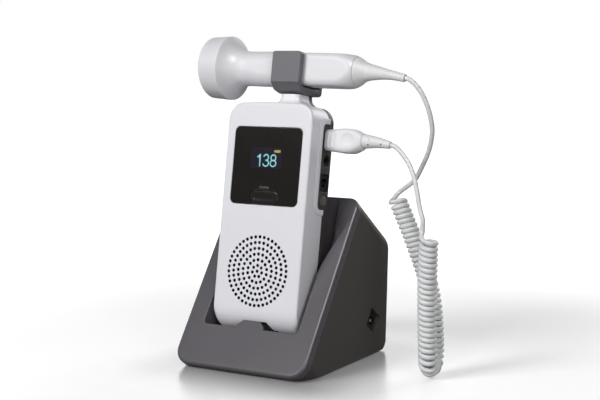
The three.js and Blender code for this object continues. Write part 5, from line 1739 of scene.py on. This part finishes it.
@dataclass(frozen=True)
class Boot:
    """A tapered sleeve that leaves along x and droops as the square of the distance.

    Its radii are rows of distance and radius.
    """

    radii: tuple[tuple[float, float], ...]
    droop: float
    start: float
    depth: float
    height: float

    @property
    def length(self) -> float:
        """The sleeve's length."""
        return self.radii[-1][0]

    def fall(self, along: Union[float, Array]) -> Union[float, Array]:
        """How far the sleeve's line has drooped at a distance along it."""
        return self.droop * (along / self.length) ** 2

    def surface(self, sides: int, rings: int, bore: float) -> Shape:
        """The sleeve: circles square to its drooping line, with radii read from its table, and a lip at its tip.

        Args:
            sides: corners of each circle.
            rings: circles along the sleeve.
            bore: radius of its hole.

        Returns:
            The closed surface.
        """
        along = np.linspace(0.0, self.length, rings)
        radius = eased(self.radii, along)[:, 0]
        lip = np.array([0.35, 0.8]) * (radius[-1] - bore)
        along = np.concatenate([along, [self.length + 0.15, self.length - 0.2]])[:, None]
        radius = np.concatenate([radius, radius[-1] - lip])[:, None]
        tilt = np.arctan(2 * self.droop * along / self.length**2)
        across, up = (radius * circle(sides)[:, axis] for axis in (0, 1))
        x = self.start + along + up * np.sin(tilt)
        return lofted(np.stack([x, self.depth + across, self.height - self.fall(along) + up * np.cos(tilt)], -1))

    def tip(self) -> tuple[Array, Array]:
        """The sleeve's end and the direction it ends in, in metres in the part's frame.

        Returns:
            The point and the direction, a unit vector.
        """
        tilt = math.atan(2 * self.droop / self.length)
        way = np.array([math.cos(tilt), 0.0, -math.sin(tilt)])
        end = np.array([self.start + self.length, self.depth, self.height - self.droop])
        return UPRIGHT.place(end), unit(UPRIGHT.place(way) - UPRIGHT.place(np.zeros(3)))


PROBE_BOOT_RADII = (
    (0, 9.1), (1.2, 8.5), (2.6, 7.5), (4.5, 6.4), (7, 5.4), (12.6, 4.3), (17, 3.6), (22.4, 2.95), (27, 2.65),
    (32, 2.45),
)
PROBE_BOOT = Boot(PROBE_BOOT_RADII, droop=3.6, start=51.5, depth=15.75, height=164.3)
PLUG_BOOT = Boot(((0, 4.5), (2, 4.3), (9, 3.4), (17.8, 2.3)), droop=1.7, start=57.0, depth=20.2, height=122.5)
BOOT_BORE = 1.6


def sizes_of(table: Table) -> Array:
    """A table's rows of x, half depth, half height and corner; a row of two is a circle's x and radius."""
    return np.array([row if len(row) == 4 else (row[0], *[row[1]] * 3) for row in table], float)


@dataclass
class Probe:
    """The ultrasound probe: a round head with a soft face, and a handle with its boot."""

    depth: float = 15.75
    height: float = 165.1
    tilt: float = 0.018
    rest: float = 7.5
    wall: float = 1.8
    sides: int = 96
    rim: float = -56.5
    face_radius: float = 17.0
    face_swell: float = 0.9
    cord_hole: float = 1.9
    bevel: float = 0.2
    head: Table = (
        (-56.5, 18.7), (-56.2, 19.2), (-55.5, 19.6), (-49, 19.95), (-42.8, 20.3), (-42.2, 20.2), (-41.8, 19.85),
        (-41.3, 19.2), (-40.2, 17.75), (-38.8, 16.1, 16.15, 16.1), (-37.0, 14.3, 14.4, 14.3),
        (-34.8, 12.6, 12.8, 12.6), (-32.2, 11.25, 11.6, 11.25), (-29.5, 10.5, 11.1, 10.4), (-26.5, 10.25, 10.95, 9.9),
        (-20, 10.2, 10.9, 8.8), (-11, 10.2, 10.9, 7.6), (-0.9, 10.2, 10.5, 5.6),
    )
    handle: Table = (
        (-0.6, 10.2, 10.45, 5.55), (8, 10.2, 10.15, 3.9), (20, 10.2, 10.1, 3.6), (38, 10.2, 10.1, 3.6),
        (42, 10.2, 10.1, 4.3), (45, 10.15, 10.1, 5.7), (47.4, 10.05, 10.05, 7.5), (49.3, 9.9, 9.9, 9.1), (50.6, 9.5),
        (51.2, 9.15),
    )

    def cut(self, rows: Array) -> Array:
        """Sections from rows of x, half depth, half height and corner, their middles falling a little along x."""
        return section(rows, self.depth, self.height - self.tilt * (rows[:, :1] - self.rest), self.sides)

    def thinned(self, rows: Array, places: Array) -> Array:
        """Sections of the wall's inside at places along x.

        Args:
            rows: sections of the outside along x.
            places: where the inside is wanted.

        Returns:
            A section at each place.
        """
        less = np.array([0.0, self.wall, self.wall, self.wall])
        rows = np.maximum(rows - less, [-np.inf, -np.inf, -np.inf, self.wall])
        return self.cut(np.concatenate([places[:, None], eased(rows, places)], 1))

    def build_head(self) -> None:
        """Makes the head as one thin wall: outside from the rim to the seam, and back inside to the face's seat."""
        rows, end = sizes_of(self.head), self.head[-1][0]
        crease = ((self.rim, -55.5, 5), (-55, -43.1, 12), (-42.8, -41.2, 9), (-41.0, -28, 50))
        fine = runs(*crease, (-27.5, end, 24), (end + self.bevel, end + self.bevel, 1))
        sizes = eased(rows, np.minimum(fine, end))
        sizes[-1] -= self.bevel
        outer = self.cut(np.concatenate([fine[:, None], sizes], 1))
        inner = self.thinned(rows[3:], np.linspace(end - 0.1, -48.9, 40))
        ledge = self.cut(sizes_of(((-51.6, 17.3), (-51.6, 15.6), (-53.2, 15.6), (-53.2, 17.3), (-56.3, 17.3))))
        head = solid("probe_head", lofted(np.concatenate([outer, inner, ledge]), looped=True))
        dress(head, "probe", [PROBE_WHITE], ["probe_head_shell"])

    def build_handle(self) -> None:
        """Makes the handle as one thin wall, closed at its end but for the cord's hole."""
        rows, start, last = sizes_of(self.handle), self.handle[0][0], self.handle[-1][0]
        fine = runs((start - self.bevel, start - self.bevel, 1), (start, 34, 16), (35, last, 40))
        sizes = eased(rows, np.clip(fine, start, last))
        sizes[0] -= self.bevel
        outer = self.cut(np.concatenate([fine[:, None], sizes], 1))
        end = self.cut(sizes_of(((last, self.cord_hole), (last - self.wall, self.cord_hole))))
        inner = self.thinned(rows, np.linspace(last - self.wall - 0.4, start, 20))
        handle = solid("probe_handle", lofted(np.concatenate([outer, end, inner]), looped=True))
        dress(handle, "probe", [PROBE_WHITE], ["probe_handle_shell"])

    def build_face(self) -> None:
        """Makes the soft acoustic face: a disc whose front swells as a parabola, with a rounded rim."""
        inner = np.linspace(0.6, 15.6, 16)
        swell = self.face_swell * (1 - (inner / self.face_radius) ** 2)
        front = zip(self.rim - swell, inner)
        rows = sizes_of((*front, (-56.5, 16.3), (-56.3, 16.75), (-55.9, 17.0), (-53.5, 17.0)))
        disc = solid("probe_face_pad", lofted(self.cut(rows)))
        dress(disc, "probe", [FACE_SOFT], ["acoustic_face"])

    def build_boot(self) -> None:
        """Makes the soft sleeve at the handle's end."""
        boot = solid("probe_boot", PROBE_BOOT.surface(64, 60, BOOT_BORE))
        dress(boot, "probe", [BOOT_SOFT], ["probe_strain_relief"])


@dataclass
class Plug:
    """The plug in the handset's socket: a ribbed grip with a thumb hollow, and its sleeve."""

    start: float = 31.3
    depth: float = 20.2
    height: float = 122.2
    sides: int = 112
    rows: Table = (
        (0, 5.0, 5.8, 2.4), (0.3, 5.45, 6.2, 2.8), (0.8, 5.7, 6.4, 3.0), (6.5, 5.9, 7.0, 3.1), (13.7, 6, 7.6, 3.2),
        (17.5, 5.9, 7.55, 3.4), (19.8, 5.75, 7.1, 3.6), (22.5, 5.4, 6.1, 4.0), (24.6, 4.9, 5.3, 4.4),
        (25.4, 4.5, 4.8, 4.4),
    )
    ribs: Sequence[float] = (2.95, 5.45, 7.95)
    rib_half: float = 0.75
    rib_rise: float = 0.5
    hollow: Sequence[float] = (47.9, 123.0, 4.1, 0.75)
    vents: Table = ((61.6, 0.9), (61.2, -1.8), (69.6, -0.5))

    def build_grip(self) -> None:
        """Makes the grip: sections along x, raised on each rib and sunk in a round hollow on the front.

        A rib adds its rise times a cosine bell on the broad sides, and the hollow sinks by its depth times the power
        0.8 of one less the squared share of its radius.
        """
        along = runs((0, 10, 61), (10.3, 25.4, 66))
        rows = np.concatenate([self.start + along[:, None], eased(self.rows, along)], 1)
        x, depth, height = np.moveaxis(section(rows, self.depth, self.height, self.sides), -1, 0)
        beside = along - np.array(self.ribs)[:, None]
        bell = np.where(np.abs(beside) < self.rib_half, 0.5 + 0.5 * np.cos(np.pi * beside / self.rib_half), 0).sum(0)
        broad = smoothstep((5.6 - np.abs(height - self.height)) / 1.2)
        outward = np.sign(depth - self.depth) * smoothstep((np.abs(depth - self.depth) - 3.5) / 1.5)
        depth = depth + self.rib_rise * bell[:, None] * broad * outward
        middle_x, middle_height, radius, sink = self.hollow
        share = ((x - middle_x) ** 2 + (height - middle_height) ** 2) / radius**2
        bowl = sink * np.maximum(1 - share, 0.0) ** 0.8
        depth = depth - np.where(np.abs(depth - self.depth) > 3, bowl * np.sign(depth - self.depth), 0.0)
        grip = solid("plug_grip", lofted(np.stack([x, depth, height], -1)))
        dress(grip, "plug", [PLUG_WHITE], ["plug_body"], 60.0, False)

    def build_boot(self) -> None:
        """Makes the plug's sleeve."""
        boot = solid("plug_boot", PLUG_BOOT.surface(56, 40, BOOT_BORE))
        dress(boot, "plug", [BOOT_SOFT], ["plug_strain_relief"])

    def build_vents(self) -> None:
        """Makes the sleeve's three small flex holes on each side as painted shade: dark discs a hair proud of it."""
        shade_discs = []
        for x, rise in self.vents:
            along = x - PLUG_BOOT.start
            radius = float(eased(PLUG_BOOT.radii, np.array([along]))[0, 0])
            reach = math.sqrt(radius**2 - rise**2)
            height = self.height - PLUG_BOOT.fall(along) + rise
            for side in (-1, 1):
                near, far = sorted((self.depth + side * (reach - 0.5), self.depth + side * (reach + 0.03)))
                shade_discs.append(rod(Along.DEPTH, 0.9, near, far, x, height, 12))
        vents = solid("plug_boot_vent_shade", joined(shade_discs))
        dress(vents, "plug", [JACK_BLACK_AND_VENT_SHADE], level=False)


# The cord


def spaced(path: Array, count: int, values: Optional[Array] = None) -> Array:
    """Reads a dense path, or values given at its points, at evenly spaced distances along it.

    Args:
        path: the dense points.
        count: the parts that the path is divided into.
        values: rows at those points, read in place of the points.

    Returns:
        One row for each end of a part.
    """
    gone = np.concatenate([[0.0], np.cumsum(np.linalg.norm(np.diff(path, axis=0), axis=1))])
    at = np.linspace(0.0, gone[-1], count + 1)
    return np.stack([np.interp(at, gone, column) for column in (path if values is None else values).T], -1)


def flowing(knots: Array, count: int) -> Array:
    """A smooth line through knots, whose speed follows the square root of their distances.

    Each stretch is a cubic in Hermite form between two knots; its end slopes come from the three divided
    differences round each knot, and beyond both ends the line goes straight on.

    Args:
        knots: the points that the line passes.
        count: parts of the returned line.

    Returns:
        Evenly spaced points along it.
    """
    points = np.concatenate([2 * knots[:1] - knots[1:2], knots, 2 * knots[-1:] - knots[-2:-1]])
    gap = np.sqrt(np.linalg.norm(np.diff(points, axis=0), axis=1))[:, None]
    before, here, after = gap[:-2], gap[1:-1], gap[2:]
    a, b, c, d = points[:-3], points[1:-2], points[2:-1], points[3:]
    leave = ((b - a) / before - (c - a) / (before + here) + (c - b) / here) * here
    reach = ((c - b) / here - (d - b) / (here + after) + (d - c) / after) * here
    t = np.linspace(0, 1, 241)[None, :-1, None]
    line = (
        (2 * t**3 - 3 * t**2 + 1) * b[:, None]
        + (t**3 - 2 * t**2 + t) * leave[:, None]
        + (3 * t**2 - 2 * t**3) * c[:, None]
        + (t**3 - t**2) * reach[:, None]
    )
    return spaced(np.concatenate([line.reshape(-1, 3), knots[-1:]]), count)


def path_length(path: Array) -> float:
    """The length of a path, as the sum of its parts."""
    return float(np.linalg.norm(np.diff(path, axis=0), axis=1).sum())


@dataclass
class Cord:
    """The cord from the probe's boot, through the curls, to the plug's boot."""

    diameter: float = 3.0
    radius: float = 4.45
    pitch: float = 3.14
    run_in: float = 9.0
    end_share: float = 0.3
    samples: int = 1600
    per_turn: int = 16
    sides: int = 12
    leave: Point = (-0.9, 0.5, 0.0)
    tilt: float = 12.0
    opening: float = 0.3
    viewer: Point = (0.54, -0.84, 0.0)
    axis: Table = (
        (105.5, 45.9, 88.6), (104.8, 45.5, 66), (104.55, 45.3, 48), (104.7, 45.4, 30), (105, 45.6, 13.4),
        (104.6, 47.63, 8.38), (103.65, 52.55, 6.3), (102.7, 57.47, 8.38), (102.3, 59.5, 13.4), (101.4, 60.5, 30.4),
        (98.8, 62.4, 45.1), (94.7, 64.3, 57.5), (84.4, 68.1, 78), (69.5, 71.8, 105),
    )
    probe_sag: Table = (
        (11.2, -1.2, 1.2), (16.8, -1.9, 1.3), (20.5, -2.5, 1.4), (22.4, -2.4, 1.8), (22.1, -2, 2.3), (19.7, -0.9, 2.2),
        (15.8, 0.3, 1.9), (11.2, 2, 2.4),
    )
    plug_sag: Table = ((2.7, 0.8, 4.2), (4.1, 1.2, 5.7), (4.2, 0.9, 6.1), (3.2, 0.4, 4.6), (1.8, -0.1, 2.2))

    def wind(self) -> tuple[Array, Array]:
        """Works out the curls' centre line: a circle of the mean radius about the axis, turning as it goes.

        Each turn hangs with its front low: a point sinks by the tilt's tangent times its way towards the front, and
        less where the axis isn't upright. The turning rate is a full turn for each pitch, less where the axis bends,
        by the opening's share of bend times radius. It eases in and out at the ends, and is scaled so that the last
        turn leaves towards the leave vector.

        Returns:
            The line's points and, at each, the vector from the axis.
        """
        axis = flowing(np.array(self.axis), self.samples)
        step = path_length(axis) / self.samples
        way = unit(np.gradient(axis, axis=0))
        cosine = np.clip(np.sum(way[1:] * way[:-1], 1), -1, 1)
        bend = np.concatenate([[0.0], np.arccos(cosine)]) / step
        side = unit(np.array([[-1.0, 0.0, 0.0]]) + way[:, :1] * way)
        out = np.cross(way, side)
        place = np.arange(self.samples + 1)
        ease = smoothstep(place * step / self.run_in)
        ease = ease * smoothstep((self.samples - place) * step / self.run_in + self.end_share)
        rate = 2 * np.pi / self.pitch * np.maximum(1 - self.opening * bend * self.radius, 0) * ease
        total = rate.sum() * step
        leave = np.array(self.leave)
        target = math.atan2(-leave @ out[-1], leave @ side[-1])
        turns = math.floor((total - target) / (2 * np.pi))
        phase = np.cumsum(rate * step) - rate[0] * step
        phase = (phase * (turns * 2 * np.pi + target) / total)[:, None]
        outward = side * np.cos(phase) - out * np.sin(phase)
        slant = math.tan(math.radians(self.tilt)) * (outward @ np.array(self.viewer)) * way[:, 2] ** 2
        outward = outward - slant[:, None] * np.array([0.0, 0.0, 1.0])
        wire = axis + self.radius * outward
        ends = self.diameter * unit(wire[[0, -1]] - wire[[1, -2]])
        wire = np.concatenate([wire[:1] + ends[:1], wire, wire[-1:] + ends[1:]])
        outward = np.concatenate([outward[:1], outward, outward[-1:]])
        curl = math.hypot(2 * math.pi * self.radius, self.pitch)
        count = round(path_length(wire) / curl * self.per_turn)
        curls = spaced(wire, count)
        log.info("curls: %d turns, %.0f mm of wire", turns, path_length(curls))
        return curls, spaced(wire, count, outward)

    def lead(self, boot: Boot, sag: Sequence[Sequence[float]], end: Array, end_way: Array) -> Array:
        """A lead's line from a boot's tip to the curls: the chord between its ends plus the sag's offsets.

        Args:
            boot: the sleeve that it leaves.
            sag: offsets from the chord, evenly spaced along it.
            end: the point where it meets the curls.
            end_way: the direction in which it leaves that point.

        Returns:
            Points along the lead.
        """
        tip, way = boot.tip()
        start = tip / MM - np.array([SHIFT_X, SHIFT_Y, 0.0])
        offsets = np.asarray(sag, float)
        share = (np.arange(len(offsets)) + 1)[:, None] / (len(offsets) + 1)
        middle = start + (end - start) * share + offsets
        knots = [start - way * 1.5, start + way * self.diameter, *middle, end + end_way * self.diameter, end]
        return flowing(np.array(knots), 90)

    def build(self) -> None:
        """Makes the curls and both leads, and says what each is."""
        curls, outward = self.wind()
        ways = unit(curls[[0, -1]] - curls[[1, -2]])
        radius = self.diameter / 2 * MM
        coil_line = STANDING.place(curls)
        coil = solid("cord_curls", swept(coil_line, radius, self.sides, outward), None)
        dress(coil, "handset", [CORD_JACKET], ["curly_cord"], 80.0, False)
        for name, boot, sag, end, body, node in (
            ("cord_from_probe", PROBE_BOOT, self.probe_sag, -1, "probe", "lead_from_probe"),
            ("cord_to_plug", PLUG_BOOT, self.plug_sag, 0, "plug", "lead_to_plug"),
        ):
            line = STANDING.place(self.lead(boot, sag, curls[end], ways[end]))
            piece = solid(name, swept(line, radius, 20, np.array([[0.0, 1.0, 0.0]])), None)
            dress(piece, None, [CORD_JACKET], [node], 80.0, False)
            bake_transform(piece)


# Nodes that keep their own shape

# Their finishes, by the start of their names
KEPT: dict[str, Finish] = {
    "cradle_dc_jack": JACK_BLACK_AND_VENT_SHADE,
    "cradle_jack_pin": SCREW_STEEL,
    "cradle_base_plate": SHELL_DARK,
    "cradle_circuit_board": Board("charger_board", (38, 86, 52)),
    "contact_block": JACK_BLACK_AND_VENT_SHADE,
    "contact_pin": CONTACT_GOLD,
    "charge_pad": CONTACT_GOLD,
    "foot_": Rubber("foot_rubber", (44, 44, 46)),
    "base_screw": SCREW_STEEL,
    "board_screw": SCREW_STEEL,
    "battery_door_screw": SCREW_STEEL,
    "holder_screw": SCREW_STEEL,
    "display_module": DISPLAY_DARK,
    "main_circuit_board": Board("main_board", (34, 78, 50)),
    "probe_circuit_board": Board("probe_board", (40, 92, 56)),
    "speaker_basket": BASKET_STEEL,
    "speaker_cone": Fibre("cone_paper", (36, 36, 38), (70, 68, 66), stretch=(1.0, 1.0, 3.0)),
    "battery_pack": Wrap("cell_wrap", (52, 78, 118), 0.062, 0.07),
    "battery_door": Ridged("door_dark", (60, 56, 55), 0.072, 0.09),
    "probe_socket": JACK_BLACK_AND_VENT_SHADE,
    "headphone_jack": JACK_BLACK_AND_VENT_SHADE,
    "handset_dc_jack": JACK_BLACK_AND_VENT_SHADE,
    "side_button": BUTTON_DARK,
    "plug_nose": JACK_BLACK_AND_VENT_SHADE,
    "crystal_disc": Fibre("crystal_ceramic", (146, 141, 130), (176, 172, 160), 0.5),
    "damping_block": Rubber("damping_resin", (58, 55, 51)),
}


def dress_kept(nodes: dict[str, Piece]) -> None:
    """Gives each of the frame's nodes that is still shown the finish with the longest matching name.

    Args:
        nodes: the frame's nodes by name.
    """
    for name, node in nodes.items():
        starts = [start for start in KEPT if name.startswith(start)]
        if name in REPLACED or not starts:
            continue
        material = material_of(KEPT[max(starts, key=len)])
        for slot in node.material_slots:
            slot.material = material
        log.info("%s keeps its shape in %s", name, material.name)


# The studio


@dataclass
class Studio:
    """A white table, soft lamps and the camera."""

    camera_at: tuple[float, float, float] = (0.4659, -0.7300, 0.2023)
    target: tuple[float, float, float] = (-0.0129, 0.01906, 0.0995)
    focal_pixels: float = 1394.6
    roll: float = -0.425
    sensor: float = 36.0
    surround: float = 0.17
    aim: Point = (0.0, 0.0, 0.1)
    lamps: Sequence[tuple[str, Point, float, float, bool]] = (
        ("key", (-0.6, -1.4, 1.0), 0.75, 21.3, False),
        ("fill", (1.35, -1.0, 0.5), 0.9, 9.5, False),
        ("edge", (0.55, -0.75, 1.3), 0.35, 26.0, True),
        ("back", (0.35, 1.5, 0.8), 0.8, 8.0, False),
    )
    table_radii: Sequence[float] = (0.001, 0.2, 0.6, 2.0, 9.0)
    table_thickness: float = 0.01

    def build_camera(self) -> None:
        """Places the camera where the photograph was taken from, with its focal length from its width."""
        data = bpy.data.cameras.new("camera")
        data.sensor_width = self.sensor
        data.lens = self.sensor * self.focal_pixels / PHOTO_WIDTH
        data.clip_start = 0.01
        camera = linked("camera", data)
        place = Vector(self.camera_at)
        back = (place - Vector(self.target)).normalized()
        right = Vector((0, 0, 1)).cross(back).normalized()
        up = back.cross(right)
        turn = math.radians(self.roll)
        level = right * math.cos(turn) + up * math.sin(turn)
        upright = up * math.cos(turn) - right * math.sin(turn)
        turned = Matrix((level, upright, back)).transposed().to_4x4()
        camera.matrix_world = Matrix.Translation(place) @ turned
        bpy.context.scene.camera = camera

    def build_light(self) -> None:
        """Lights the scene with square soft lamps that face the handset, and a dim surround.

        The lamps are a key from the left front, a fill, an edge lamp seen only in reflections, and a back lamp.
        """
        for name, at, size, power, glossy in self.lamps:
            data = bpy.data.lights.new(name, "AREA")
            data.size = size
            data.energy = power
            lamp = linked(name, data)
            lamp.location = at
            lamp.visible_diffuse = not glossy
            lamp.rotation_euler = (Vector(at) - Vector(self.aim)).to_track_quat("Z", "Y").to_euler()
        world = bpy.data.worlds.new("surround")
        bpy.context.scene.world = world
        make = Maker(world)
        seen = make.node("LightPath", output="Is Camera Ray")
        seen = seen.apply("MAXIMUM", make.node("LightPath", output="Is Transmission Ray"))
        level = make.node("MapRange", None, {0: seen, 3: self.surround, 4: 1.0})
        make.end("OutputWorld", make.node("Background", None, {"Strength": level}))

    def build_floor(self) -> None:
        """Lays the table under the object, a wide disc of rings about its middle, and the wall behind it."""
        top = np.insert(np.array(self.table_radii)[:, None, None] * circle(64), 2, 0.0, -1)
        under = top[::-1] - np.array([0.0, 0.0, self.table_thickness])
        turn = np.linspace(0.3 * np.pi, 1.1 * np.pi, 33)
        arc = np.stack([np.cos(turn), np.sin(turn)], -1)
        around = np.concatenate([8.0 * arc, 8.1 * arc[::-1]])
        wall = np.stack([np.insert(around, 2, height, -1) for height in (-0.5, 4.0)])
        for name, rings, finish in (
            ("table", np.concatenate([top, under]), Floor("white_table", (118, 118, 118))),
            ("wall", wall, Backdrop("white_wall", (255, 255, 255))),
        ):
            piece = solid(name, lofted(rings), None)
            piece.data.materials.append(material_of(finish))


def main() -> None:
    """Builds the object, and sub-assembly by sub-assembly."""
    logging.basicConfig(level=logging.INFO, format="%(name)s %(message)s")
    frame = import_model()
    bpy.context.scene.view_settings.view_transform = "Standard"
    studio, cradle, handset, probe, plug = Studio(), Cradle(), Handset(), Probe(), Plug()
    for build in (
        studio.build_camera,
        probe.build_boot,
        plug.build_boot,
        plug.build_grip,
        Cord().build,
        cradle.build_cover,
        cradle.build_rear,
        handset.build_front,
        handset.build_cloth,
        handset.build_rear,
        handset.build_window,
        handset.build_key,
        handset.build_display,
        handset.build_holder,
        probe.build_head,
        probe.build_handle,
        probe.build_face,
        plug.build_vents,
    ):
        build()
    dress_kept(frame["nodes"])
    studio.build_light()
    studio.build_floor()


if __name__ == "__main__":
    main()
